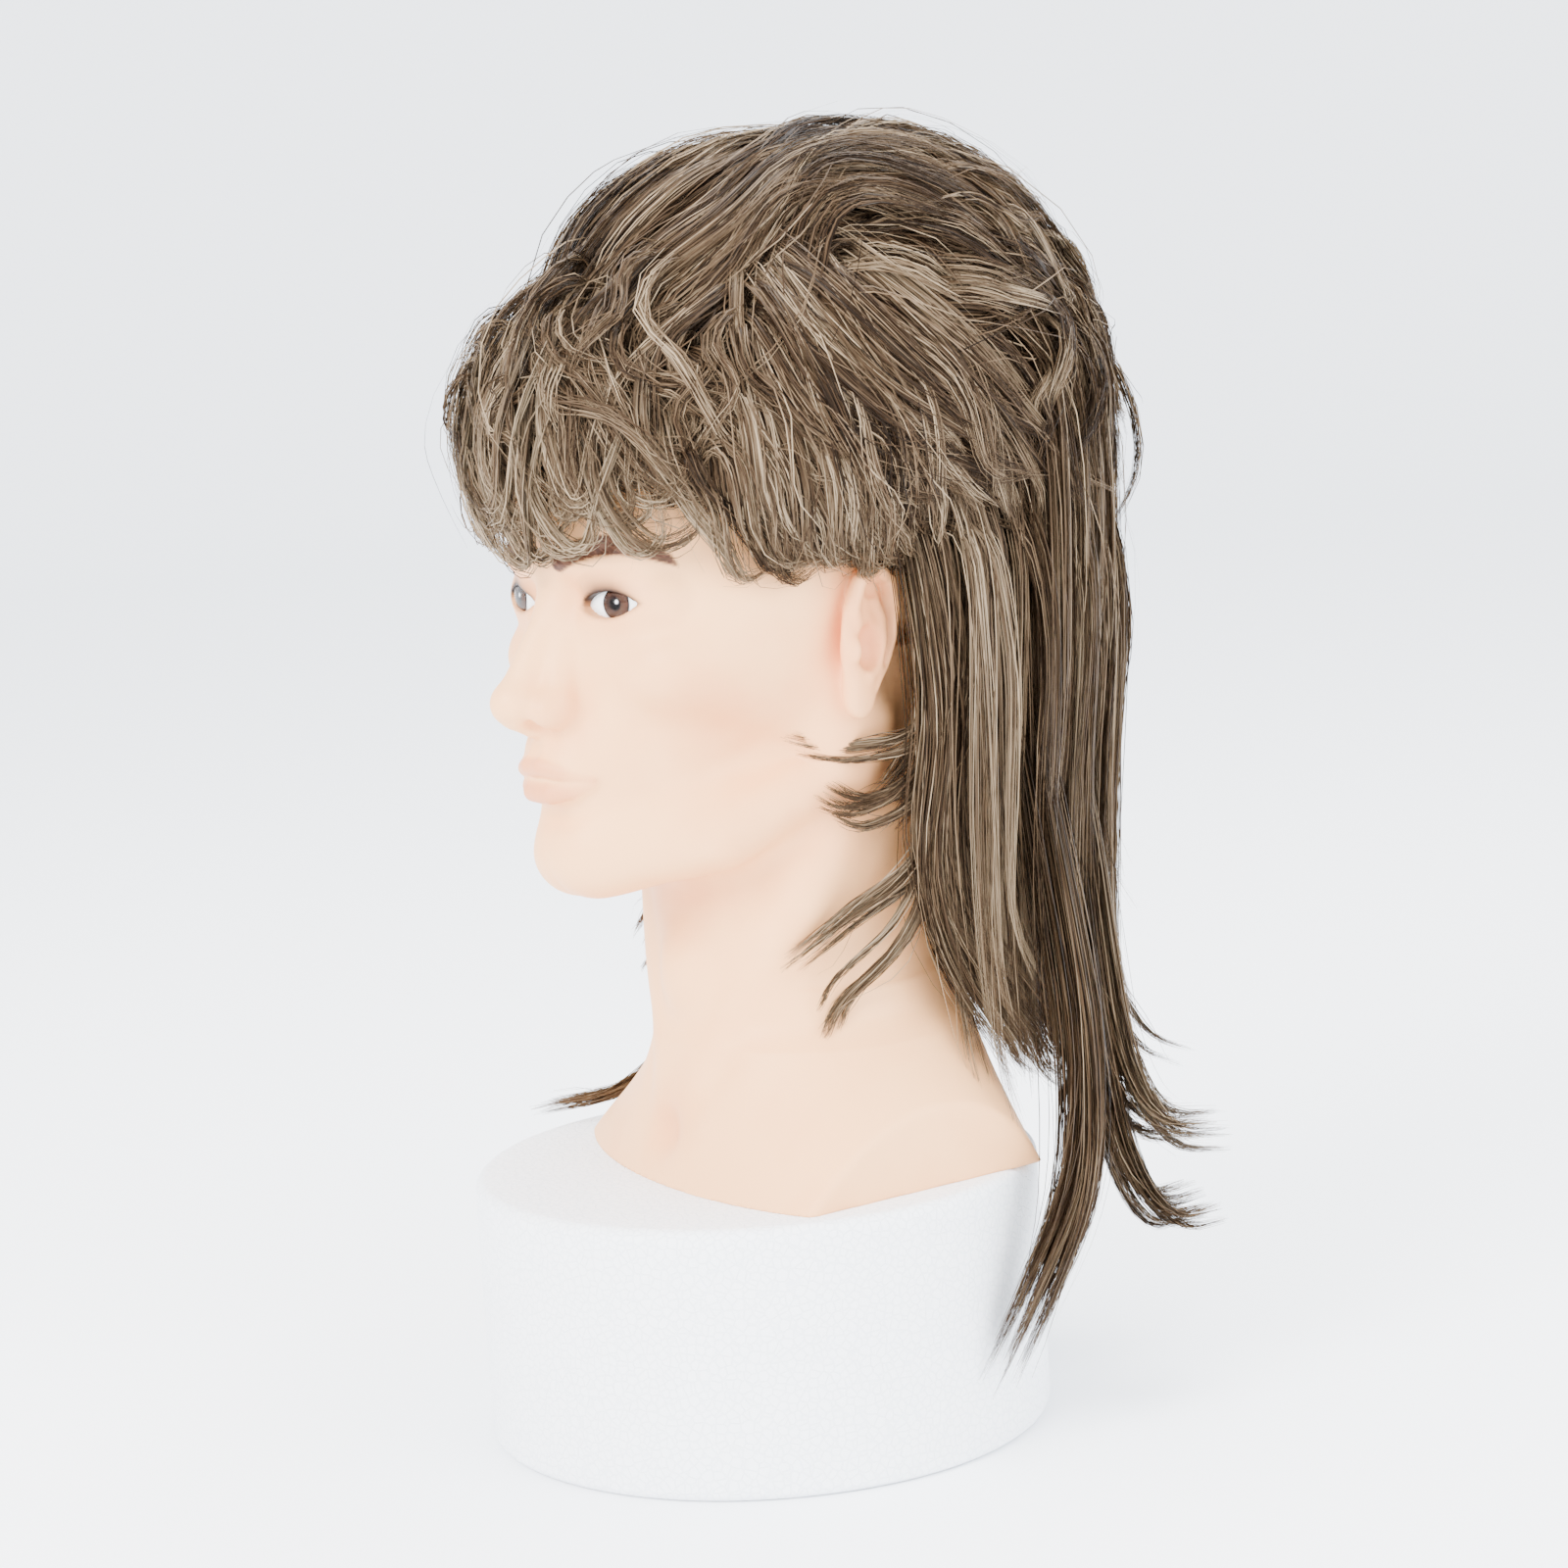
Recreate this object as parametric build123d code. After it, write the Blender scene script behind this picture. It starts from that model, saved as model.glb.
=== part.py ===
"""Mannequin training head with a removable long-backed wig, standing on a foam block.

Millimetres, +Z up. The face looks towards -Y and the left ear is on the +X side.
The origin is the centre of the foam block's bottom face.
"""

from build123d import *
import os

# ---------------------------------------------------------------- driving dimensions

# foam block
BLOCK_RADIUS = 113.0
BLOCK_HEIGHT = 106.0
BLOCK_EDGE = 4.0

# hollow shell of the head
WALL = 4.0
SKULL_CENTRE = (0.0, 12.0, 362.0)
SKULL_HALF = (72.0, 92.0, 84.0)
CHIN_Z = 226.0
FACE_TOP_Z = 372.0

# neck and bust
NECK_CENTRE_Y = 30.0
NECK_HALF_DEPTH = 62.0
BUST_TURN = -9.0
BUST_OFFSET_X = 5.0
BUST_FRONT_CORNER_X = 94.0
BUST_REAR_CORNER_X = 82.0
BUST_FRONT_CORNER_Y = -26.0
BUST_REAR_CORNER_Y = 80.0
BUST_OUTLINE_FRONT_Y = -80.0
BUST_OUTLINE_BACK_Y = 130.0
BUST_OUTLINE_HEIGHT = 90.0

# eyes
EYE_X = 29.5
EYE_Y = -57.0
EYE_Z = 338.0
EYE_RADIUS = 14.5
EYE_WALL = 1.4
EYE_CUT_DEPTH = 2.0
IRIS_RADIUS = 6.2
IRIS_THICKNESS = 0.4
CORNEA_RADIUS = 6.8
CORNEA_THICKNESS = 0.8
EYE_GAP = 0.05

# ears
EAR_X = 72.0
EAR_Y = 13.0
EAR_Z = 318.0
EAR_LENGTH = 58.0
EAR_WIDTH = 32.0
EAR_DEPTH = 15.0
EAR_TILT = 10.0
EAR_TURN = 12.0
EAR_BOWL_RADIUS = 13.0
EAR_BOWL_DEPTH = 3.5

# clamp socket and base plate
SOCKET_BORE_RADIUS = 11.5
SOCKET_WALL = 4.0
SOCKET_DEPTH = 45.0
SOCKET_ROOF = 4.0
SOCKET_Y = 18.0
FLANGE_RADIUS = 26.0
FLANGE_THICKNESS = 3.0
BASE_PLATE_THICKNESS = 4.0
BASE_PLATE_GAP = 0.4

# wig cap: offsets are measured outwards from the skull
CAP_CLEARANCE = 1.6
CAP_THICKNESS = 1.0
LAYER_GAP = 0.15
RIBBON_THICKNESS = 0.6
RIBBON_WIDTH = 8.0
RIBBON_PITCH = 23.0
RIBBON_COUNT = 5
HAIRLINE_Z = 398.0
BAND_WIDTH = 13.0
NAPE_Z = 298.0
EAR_CUT_TOP_Z = 356.0
EAR_CUT_FRONT_Y = -16.0
EAR_CUT_REAR_Y = 46.0
EAR_TAB_WIDTH = 13.0
EAR_TAB_BOTTOM_Z = 354.0
STAY_WIDTH = 4.0
STAY_THICKNESS = 0.5
STAY_BOTTOM_Z = 358.0
STAY_TOP_Z = 394.0

# adjusters at the nape
STRAP_LENGTH = 32.0
STRAP_HEIGHT = 7.0
STRAP_THICKNESS = 1.0
STRAP_INNER_X = 15.0
STRAP_Z = 306.0
STRAP_GAP = 0.6
HOOK_LENGTH = 5.0
HOOK_THICKNESS = 1.6
LOOP_COUNT = 3
LOOP_PITCH = 3.0
LOOP_WIDTH = 1.2
LOOP_THICKNESS = 1.4
LOOP_HEIGHT = 8.0
HOOK_EDGE = 1.5
POCKET_MARGIN = 2.0

# hair volumes
HAIR_INNER_OFFSET = 5.2
HAIR_CENTRE = (0.0, 35.0, 402.0)
HAIR_HALF = (108.0, 143.0, 115.0)
HAIR_GAP = 1.0
FRINGE_REAR_Y = -34.0
FRINGE_TOP_Z = 436.0
FRINGE_BOTTOM_Z = 372.0
FRINGE_INNER_Y = -86.0
SIDE_X = 62.0
SIDE_BOTTOM_Z = 352.0
CROWN_FRONT_Y = 40.0
BACK_FRONT_Y = 60.0
BACK_TOP_Z = 404.0
BACK_JOIN_Z = 300.0
BACK_BOTTOM_Z = 150.0
BACK_CENTRE_Y = 30.0
BACK_INNER = (92.0, 88.0)
BACK_OUTER = (106.0, 147.0)
TIP_HALF_WIDTH = 11.0
TIP_HALF_DEPTH = 6.0

FAR = 600.0


# ---------------------------------------------------------------- small helpers

def box_between(low, high):
    """An axis-aligned box from its lowest to its highest corner."""
    size = [high[i] - low[i] for i in range(3)]
    middle = [(high[i] + low[i]) / 2 for i in range(3)]
    return Pos(*middle) * Box(*size)


def ellipsoid(centre, half):
    """A solid ellipsoid with the given half sizes."""
    return Pos(*centre) * scale(Sphere(1.0), by=tuple(half))


def ellipse_loft(sections):
    """Loft through ellipses given as (z, centre x, front y, back y, half width)."""
    rings = []
    for z, centre_x, front_y, back_y, half_width in sections:
        plane = Plane(origin=(centre_x, (front_y + back_y) / 2, z))
        rings.append(plane * Ellipse(half_width, (back_y - front_y) / 2))
    return loft(rings)


def elliptic_column(centre_y, half_x, half_y, low_z, high_z):
    """A vertical column with an elliptic section."""
    column = extrude(Ellipse(half_x, half_y), high_z - low_z)
    return Pos(0, centre_y, low_z) * column


def mirrored(side):
    """Sign of x for a named side: the left ear is on +X."""
    return 1.0 if side == "left" else -1.0


def on_side(shape, side):
    """A shape modelled for the left side, put on the wanted side."""
    return shape if side == "left" else mirror(shape, about=Plane.YZ)


# ---------------------------------------------------------------- foam block

def foam_block():
    block = Cylinder(BLOCK_RADIUS, BLOCK_HEIGHT, align=(Align.CENTER, Align.CENTER, Align.MIN))
    return fillet(block.edges(), BLOCK_EDGE)


# ---------------------------------------------------------------- head shell

def face_form(inset):
    """Jaw, cheeks and brow as one loft that narrows to the chin."""
    sections = [
        (CHIN_Z + inset, 0, -80 + inset, -30, 20 - inset / 2),
        (CHIN_Z + 9 + inset / 2, 0, -89 + inset, 0, 32 - inset),
        (255, 0, -89 + inset, 30, 43 - inset),
        (274, 0, -90 + inset, 58, 54 - inset),
        (300, 0, -83 + inset, 80, 63 - inset),
        (338, 0, -78 + inset, 96 - inset, 69 - inset),
        (FACE_TOP_Z, 0, -80 + inset, 102 - inset, 71 - inset),
    ]
    return ellipse_loft(sections)


def neck_form(inset):
    """The neck, from the shoulders up into the skull."""
    front = NECK_CENTRE_Y - NECK_HALF_DEPTH
    back = NECK_CENTRE_Y + NECK_HALF_DEPTH
    sections = [
        (130, 2, front - 6 + inset, back + 6 - inset, 68 - inset),
        (165, 1, front - 2 + inset, back - 2 - inset, 59 - inset),
        (205, 0, front + inset, back - 2 - inset, 57 - inset),
        (250, 0, front - 4 + inset, back + 2 - inset, 58 - inset),
        (300, 0, front - 8 + inset, back + 4 - inset, 60 - inset),
    ]
    return ellipse_loft(sections)


def bust_flare(inset):
    """The shoulders' flare before the flat cuts, in the bust's own turned frame."""
    sections = [
        (BLOCK_HEIGHT, 0, -51 + inset, 96 - inset, 132 - inset),
        (BLOCK_HEIGHT + 9, 0, -49 + inset, 95 - inset, 126 - inset),
        (BLOCK_HEIGHT + 28, 0, -40 + inset, 93 - inset, 97 - inset),
        (BLOCK_HEIGHT + 48, 0, -35 + inset, 91 - inset, 68 - inset),
        (BLOCK_HEIGHT + 72, -2, -30 + inset, 88 - inset, 55 - inset),
    ]
    return ellipse_loft(sections)


def bust_outline(inset, low_z, high_z):
    """The column between the two flat shoulder cuts, which close towards the back."""
    run = BUST_REAR_CORNER_Y - BUST_FRONT_CORNER_Y
    slope = (BUST_FRONT_CORNER_X - BUST_REAR_CORNER_X) / run
    front_y = BUST_OUTLINE_FRONT_Y
    back_y = BUST_OUTLINE_BACK_Y
    front_x = BUST_FRONT_CORNER_X + slope * (BUST_FRONT_CORNER_Y - front_y) - inset
    back_x = BUST_FRONT_CORNER_X + slope * (BUST_FRONT_CORNER_Y - back_y) - inset
    corners = [(-front_x, front_y), (front_x, front_y), (back_x, back_y), (-back_x, back_y)]
    outline = make_face(Polyline(*corners, close=True))
    return Pos(0, 0, low_z) * extrude(outline, high_z - low_z)


def place_bust(shape):
    """From the bust's own frame to the head's: turned a little to the right."""
    return Pos(BUST_OFFSET_X, 0, 0) * Rot(0, 0, BUST_TURN) * shape


def bust_form(inset):
    low_z = BLOCK_HEIGHT - 1
    cut = bust_outline(inset, low_z, low_z + BUST_OUTLINE_HEIGHT)
    return place_bust(bust_flare(inset) & cut)


def skull_form(offset):
    half = [value + offset for value in SKULL_HALF]
    return ellipsoid(SKULL_CENTRE, half)


def main_form(inset):
    """The head without nose, lips and ears; a positive inset makes the hollow inside."""
    return skull_form(-inset) + face_form(inset) + neck_form(inset) + bust_form(inset)


def nose_form():
    bridge = ellipse_loft([
        (291, 0, -97, -70, 13.5),
        (300, 0, -106, -70, 13),
        (309, 0, -103, -70, 9),
        (325, 0, -92, -66, 7),
        (343, 0, -84, -66, 7),
    ])
    tip = ellipsoid((0, -97, 301), (9, 9.5, 8))
    return bridge + tip


def lips_form():
    upper = ellipsoid((0, -84, 276.5), (22, 9, 5))
    lower = ellipsoid((0, -84, 268.5), (18, 8.5, 5.5))
    return upper + lower


def ear_form():
    """The left ear: a tilted oval."""
    ear = Rot(-EAR_TILT, 0, 0) * ellipsoid((0, 0, 0), (EAR_DEPTH / 2, EAR_WIDTH / 2, EAR_LENGTH / 2))
    return Pos(EAR_X, EAR_Y, EAR_Z) * Rot(0, 0, EAR_TURN) * ear


def ear_bowl():
    """The round hollow in the left ear's outer face."""
    centre_x = EAR_X + EAR_DEPTH / 2 + EAR_BOWL_RADIUS - EAR_BOWL_DEPTH
    return Pos(centre_x, EAR_Y, EAR_Z) * Sphere(EAR_BOWL_RADIUS)


def eye_centre(side):
    return (mirrored(side) * EYE_X, EYE_Y, EYE_Z)


def head_shell():
    """The hollow skin of the head, neck and bust, open below and at the eyes."""
    outside = main_form(0.0) + nose_form() + lips_form()
    outside += ear_form()
    outside += mirror(ear_form(), about=Plane.YZ)
    shell = outside - main_form(WALL)
    for side in ("left", "right"):
        socket = Sphere(EYE_RADIUS + CORNEA_THICKNESS + IRIS_THICKNESS + 4 * EYE_GAP)
        shell -= Pos(*eye_centre(side)) * socket
    shell -= box_between((-FAR, -FAR, -FAR), (FAR, FAR, BLOCK_HEIGHT))
    shell -= ear_bowl()
    shell -= mirror(ear_bowl(), about=Plane.YZ)
    return max(shell.solids(), key=lambda solid: solid.volume)


def base_plate():
    """The plate that closes the bust, with a hole for the clamp socket."""
    inset = WALL + BASE_PLATE_GAP
    plate = bust_flare(inset) & bust_outline(inset, BLOCK_HEIGHT, BLOCK_HEIGHT + BASE_PLATE_THICKNESS)
    plate = place_bust(plate)
    hole = Cylinder(SOCKET_BORE_RADIUS + SOCKET_WALL + LAYER_GAP, 4 * BASE_PLATE_THICKNESS)
    return plate - Pos(0, SOCKET_Y, BLOCK_HEIGHT) * hole


def clamp_socket():
    """A blind tube with a flange that rests on the plate's inner face."""
    radius = SOCKET_BORE_RADIUS + SOCKET_WALL
    base = (Align.CENTER, Align.CENTER, Align.MIN)
    tube = Cylinder(radius, SOCKET_DEPTH + SOCKET_ROOF, align=base)
    flange = Cylinder(FLANGE_RADIUS, FLANGE_THICKNESS, align=base)
    body = tube + Pos(0, 0, BASE_PLATE_THICKNESS + LAYER_GAP) * flange
    body -= Cylinder(SOCKET_BORE_RADIUS, SOCKET_DEPTH, align=base)
    return Pos(0, SOCKET_Y, BLOCK_HEIGHT) * body


# ---------------------------------------------------------------- eyes

def spherical_cap(outer, inner, radius):
    """A thin piece of a spherical shell that looks towards -Y."""
    shell = Sphere(outer) - Sphere(inner)
    core = Rot(90, 0, 0) * Cylinder(radius, outer, align=(Align.CENTER, Align.CENTER, Align.MIN))
    return shell & core


def eye_pieces(side):
    """White, iris and cornea of one eye, from the inside out."""
    place = Pos(*eye_centre(side))
    front = box_between((-FAR, -FAR, -FAR), (FAR, -EYE_CUT_DEPTH, FAR))
    white = (Sphere(EYE_RADIUS) - Sphere(EYE_RADIUS - EYE_WALL)) & front
    iris_inner = EYE_RADIUS + EYE_GAP
    iris_outer = iris_inner + IRIS_THICKNESS
    iris = spherical_cap(iris_outer, iris_inner, IRIS_RADIUS)
    cornea_inner = iris_outer + EYE_GAP
    cornea = spherical_cap(cornea_inner + CORNEA_THICKNESS, cornea_inner, CORNEA_RADIUS)
    return {
        f"{side}_eye_white": place * white,
        f"{side}_eye_iris": place * iris,
        f"{side}_eye_cornea": place * cornea,
    }


# ---------------------------------------------------------------- wig cap

def cap_form(offset):
    """The skull grown by an offset, with straight sides below its widest level."""
    half = [value + offset for value in SKULL_HALF]
    dome = ellipsoid(SKULL_CENTRE, half)
    dome -= box_between((-FAR, -FAR, -FAR), (FAR, FAR, SKULL_CENTRE[2]))
    skirt = elliptic_column(SKULL_CENTRE[1], half[0], half[1], NAPE_Z - 20, SKULL_CENTRE[2])
    return dome + skirt


def cap_layer(inner, outer):
    return cap_form(outer) - cap_form(inner)


def face_opening(edge_z):
    """What is cut away below the hairline, in front of the ears."""
    return box_between((-FAR, -FAR, -FAR), (FAR, EAR_CUT_FRONT_Y, edge_z))


def ear_opening(edge_z):
    """What is cut away around the ears."""
    return box_between((-FAR, EAR_CUT_FRONT_Y - 1, -FAR), (FAR, EAR_CUT_REAR_Y, edge_z))


def nape_opening(edge_z):
    return box_between((-FAR, EAR_CUT_REAR_Y - 1, -FAR), (FAR, FAR, edge_z))


def cap_net():
    """The stretch net that covers the skull above the edge bands."""
    net = cap_layer(CAP_CLEARANCE, CAP_CLEARANCE + CAP_THICKNESS)
    net -= face_opening(HAIRLINE_Z + BAND_WIDTH)
    net -= ear_opening(EAR_CUT_TOP_Z)
    return net - nape_opening(NAPE_Z + BAND_WIDTH)


def front_band():
    """The soft band along the hairline, from ear to ear."""
    band = cap_layer(CAP_CLEARANCE, CAP_CLEARANCE + CAP_THICKNESS)
    keep = box_between((-FAR, -FAR, HAIRLINE_Z), (FAR, EAR_CUT_FRONT_Y, HAIRLINE_Z + BAND_WIDTH))
    return band & keep


def nape_band():
    """The elastic band across the nape."""
    band = cap_layer(CAP_CLEARANCE, CAP_CLEARANCE + CAP_THICKNESS)
    return band & box_between((-FAR, EAR_CUT_REAR_Y, NAPE_Z), (FAR, FAR, NAPE_Z + BAND_WIDTH))


def ear_tab(side):
    """The tab in front of an ear, below the hairline band."""
    tab = cap_layer(CAP_CLEARANCE, CAP_CLEARANCE + CAP_THICKNESS)
    low = (0, EAR_CUT_FRONT_Y - EAR_TAB_WIDTH, EAR_TAB_BOTTOM_Z)
    high = (FAR, EAR_CUT_FRONT_Y, HAIRLINE_Z)
    return on_side(tab & box_between(low, high), side)


def ear_stay(side):
    """The bendable metal strip sewn on the outside of an ear tab."""
    inner = CAP_CLEARANCE + CAP_THICKNESS + LAYER_GAP
    stay = cap_layer(inner, inner + STAY_THICKNESS)
    middle_y = EAR_CUT_FRONT_Y - EAR_TAB_WIDTH / 2
    low = (0, middle_y - STAY_WIDTH / 2, STAY_BOTTOM_Z)
    high = (FAR, middle_y + STAY_WIDTH / 2, STAY_TOP_Z)
    return on_side(stay & box_between(low, high), side)


def cap_ribbons():
    """Flat tapes from the hairline to the back, which carry the sewn hair."""
    inner = CAP_CLEARANCE + CAP_THICKNESS + LAYER_GAP
    layer = cap_layer(inner, inner + RIBBON_THICKNESS)
    layer -= face_opening(HAIRLINE_Z + 3)
    layer -= nape_opening(NAPE_Z + BAND_WIDTH + 6)
    ribbons = []
    for index in range(RIBBON_COUNT):
        x = (index - (RIBBON_COUNT - 1) / 2) * RIBBON_PITCH
        slab = box_between((x - RIBBON_WIDTH / 2, -FAR, EAR_CUT_TOP_Z - 60),
                           (x + RIBBON_WIDTH / 2, FAR, FAR))
        ribbons += (layer & slab).solids()
    return Compound(ribbons)


def adjuster_face_y():
    """The plane just behind the nape band, where the straps slide."""
    return SKULL_CENTRE[1] + SKULL_HALF[1] + CAP_CLEARANCE + CAP_THICKNESS


def adjuster_strap(side):
    y = adjuster_face_y() + STRAP_GAP
    low = (STRAP_INNER_X, y, STRAP_Z - STRAP_HEIGHT / 2)
    high = (STRAP_INNER_X + STRAP_LENGTH, y + STRAP_THICKNESS, STRAP_Z + STRAP_HEIGHT / 2)
    return on_side(box_between(low, high), side)


def adjuster_hook(side):
    """A flat hook on the strap's inner end."""
    y = adjuster_face_y() + STRAP_GAP
    reach = STRAP_HEIGHT / 2 - HOOK_EDGE
    low = (STRAP_INNER_X - HOOK_LENGTH, y, STRAP_Z - reach)
    high = (STRAP_INNER_X, y + HOOK_THICKNESS, STRAP_Z + reach)
    return on_side(box_between(low, high), side)


def nape_loops():
    """The short row of loops that the hooks can catch, in the middle of the nape."""
    y = adjuster_face_y()
    loops = []
    for index in range(LOOP_COUNT):
        x = (index - (LOOP_COUNT - 1) / 2) * LOOP_PITCH - LOOP_WIDTH / 2
        low = (x, y, STRAP_Z - LOOP_HEIGHT / 2)
        high = (x + LOOP_WIDTH, y + LOOP_THICKNESS, STRAP_Z + LOOP_HEIGHT / 2)
        loops.append(box_between(low, high))
    return Compound(loops)


# ---------------------------------------------------------------- hair volumes

def hair_envelope():
    """The outer shape of the hair above the ears."""
    return ellipsoid(HAIR_CENTRE, HAIR_HALF)


def hair_body():
    """The hair above the ears: the envelope without the cap and the head below it."""
    body = hair_envelope() - cap_form(HAIR_INNER_OFFSET)
    return body - box_between((-FAR, -FAR, -FAR), (FAR, FAR, BACK_JOIN_Z))


def adjuster_pocket():
    """Room behind the nape band for the straps and hooks."""
    reach_x = STRAP_INNER_X + STRAP_LENGTH + POCKET_MARGIN
    reach_z = STRAP_HEIGHT / 2 + POCKET_MARGIN
    rear_y = adjuster_face_y() + STRAP_GAP + HOOK_THICKNESS + POCKET_MARGIN
    return box_between((-reach_x, 0, STRAP_Z - reach_z), (reach_x, rear_y, STRAP_Z + reach_z))


def hair_between(body, low, high):
    part = body & box_between(low, high)
    return max(part.solids(), key=lambda solid: solid.volume)


def upper_hair():
    """Fringe, top, crown, sides and upper back, cut from one body along flat planes."""
    body = hair_body()
    gap = HAIR_GAP
    fringe = hair_between(body, (-SIDE_X, -FAR, FRINGE_BOTTOM_Z), (SIDE_X, FRINGE_REAR_Y, FRINGE_TOP_Z))
    fringe -= box_between((-FAR, FRINGE_INNER_Y, -FAR), (FAR, FAR, HAIRLINE_Z - 2))
    top = hair_between(body, (-SIDE_X, -FAR, FRINGE_TOP_Z + gap), (SIDE_X, CROWN_FRONT_Y, FAR))
    crown = hair_between(body, (-SIDE_X, CROWN_FRONT_Y + gap, BACK_TOP_Z + gap), (SIDE_X, FAR, FAR))
    back = hair_between(body, (-FAR, BACK_FRONT_Y, BACK_JOIN_Z), (FAR, FAR, BACK_TOP_Z))
    back -= adjuster_pocket()
    low = (SIDE_X + gap, -FAR, SIDE_BOTTOM_Z)
    left = hair_between(body, low, (FAR, BACK_FRONT_Y - gap, FAR))
    rear_low = (SIDE_X + gap, BACK_FRONT_Y - 2 * gap, BACK_TOP_Z + gap)
    rear_corner = hair_between(body, rear_low, (FAR, FAR, FAR))
    left = left + rear_corner
    return {
        "hair_fringe": fringe,
        "hair_top": top,
        "hair_crown": crown,
        "hair_upper_back": back,
        "hair_left_side": left,
        "hair_right_side": mirror(left, about=Plane.YZ),
    }


def long_back():
    """The long straight lengths: a curved curtain behind the neck."""
    top = BACK_JOIN_Z - HAIR_GAP
    outer = elliptic_column(BACK_CENTRE_Y, BACK_OUTER[0], BACK_OUTER[1], BACK_BOTTOM_Z, top)
    inner = elliptic_column(BACK_CENTRE_Y, BACK_INNER[0], BACK_INNER[1], BACK_BOTTOM_Z - 1, top + 1)
    curtain = outer - inner
    curtain &= box_between((-FAR, BACK_FRONT_Y, BACK_BOTTOM_Z), (FAR, FAR, top))
    return curtain


def lock(path, half_width, half_depth):
    """A hanging lock: a loft of ellipses along a few stations (x, y, z, size, turn)."""
    rings = []
    for x, y, z, size, turn in path:
        plane = Plane(origin=(x, y, z)) * Rot(0, 0, turn)
        rings.append(plane * Ellipse(half_width * size, half_depth * size))
    return loft(rings)


def left_tip():
    """The longest lock, which hangs down beside the block on the left."""
    path = [
        (88, 112, 148, 1.6, -45),
        (100, 102, 112, 1.4, -50),
        (110, 84, 74, 1.15, -55),
        (118, 60, 40, 0.8, -65),
        (121, 40, 14, 0.25, -72),
    ]
    return lock(path, TIP_HALF_WIDTH, TIP_HALF_DEPTH)


def back_tips():
    """The flicked ends in the middle of the back."""
    path = [
        (30, 150, 148, 3.2, 0),
        (36, 158, 124, 2.6, -5),
        (44, 172, 100, 1.4, -8),
        (52, 186, 84, 0.5, -10),
    ]
    return lock(path, TIP_HALF_WIDTH, TIP_HALF_DEPTH)


def right_tip():
    """A shorter lock on the right, whose end turns outwards."""
    path = [
        (-80, 112, 148, 1.7, 45),
        (-88, 108, 128, 1.4, 45),
        (-99, 104, 112, 0.9, 40),
        (-112, 98, 104, 0.3, 35),
    ]
    return lock(path, TIP_HALF_WIDTH, TIP_HALF_DEPTH)


def neck_length(side):
    """The hair behind an ear, which falls over the side of the neck."""
    path = [
        (90, 49, 350, 1.0, 78),
        (92, 49, 300, 1.2, 78),
        (92, 48, 250, 1.0, 78),
        (92, 45, 215, 0.6, 78),
        (92, 41, 196, 0.2, 78),
    ]
    return on_side(lock(path, 7.0, 5.0), side)


# ---------------------------------------------------------------- all nodes

def all_nodes():
    nodes = {
        "foam_block": foam_block(),
        "head_shell": head_shell(),
        "base_plate": base_plate(),
        "clamp_socket": clamp_socket(),
        "cap_net": cap_net(),
        "front_band": front_band(),
        "nape_band": nape_band(),
        "nape_loops": nape_loops(),
        "cap_ribbons": cap_ribbons(),
        "hair_long_back": long_back(),
        "hair_back_tips": back_tips(),
        "hair_left_tip": left_tip(),
        "hair_right_tip": right_tip(),
    }
    nodes.update(upper_hair())
    for side in ("left", "right"):
        nodes.update(eye_pieces(side))
        nodes[f"{side}_ear_tab"] = ear_tab(side)
        nodes[f"{side}_ear_stay"] = ear_stay(side)
        nodes[f"{side}_adjuster_strap"] = adjuster_strap(side)
        nodes[f"{side}_adjuster_hook"] = adjuster_hook(side)
        nodes[f"hair_{side}_neck_length"] = neck_length(side)
    return nodes


os.makedirs("parts", exist_ok=True)
for name, shape in all_nodes().items():
    export_step(shape, f"parts/{name}.step")
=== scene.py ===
"""Looks of the mannequin head: sculpted head, painted face, wig hair and foam block.

Metres in the scene; the head's forms below are written in millimetres (MM turns them
into metres), in the frame's own axes: face to -Y, left ear on +X, up +Z.
"""

import math

import bpy
import numpy as np
from mathutils import Matrix, Vector

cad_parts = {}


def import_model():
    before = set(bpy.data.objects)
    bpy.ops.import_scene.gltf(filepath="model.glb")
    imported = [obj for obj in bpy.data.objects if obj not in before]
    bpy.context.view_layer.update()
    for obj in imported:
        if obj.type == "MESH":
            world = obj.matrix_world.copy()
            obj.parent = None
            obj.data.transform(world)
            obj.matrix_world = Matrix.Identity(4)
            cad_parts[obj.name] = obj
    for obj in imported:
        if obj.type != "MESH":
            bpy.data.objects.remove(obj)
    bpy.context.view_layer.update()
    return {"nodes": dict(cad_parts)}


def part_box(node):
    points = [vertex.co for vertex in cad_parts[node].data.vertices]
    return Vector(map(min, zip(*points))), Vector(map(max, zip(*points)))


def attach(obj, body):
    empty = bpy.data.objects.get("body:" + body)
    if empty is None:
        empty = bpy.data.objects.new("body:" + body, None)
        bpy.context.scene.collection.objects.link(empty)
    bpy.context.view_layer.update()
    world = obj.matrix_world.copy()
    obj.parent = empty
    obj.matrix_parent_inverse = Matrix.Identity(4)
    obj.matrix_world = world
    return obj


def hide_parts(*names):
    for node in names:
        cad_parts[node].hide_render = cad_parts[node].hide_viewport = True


MM = 0.001

# ------------------------------------------------------------ camera and studio

CAMERA_AZIMUTH = 54.0
CAMERA_ELEVATION = 8.5
CAMERA_ROLL = 3.9
CAMERA_DISTANCE = 1.515
CAMERA_LENS = 87.9
CAMERA_TARGET = Vector((0.0, 0.0, 0.260))
CAMERA_SHIFT = (0.035, -0.0043)


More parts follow.
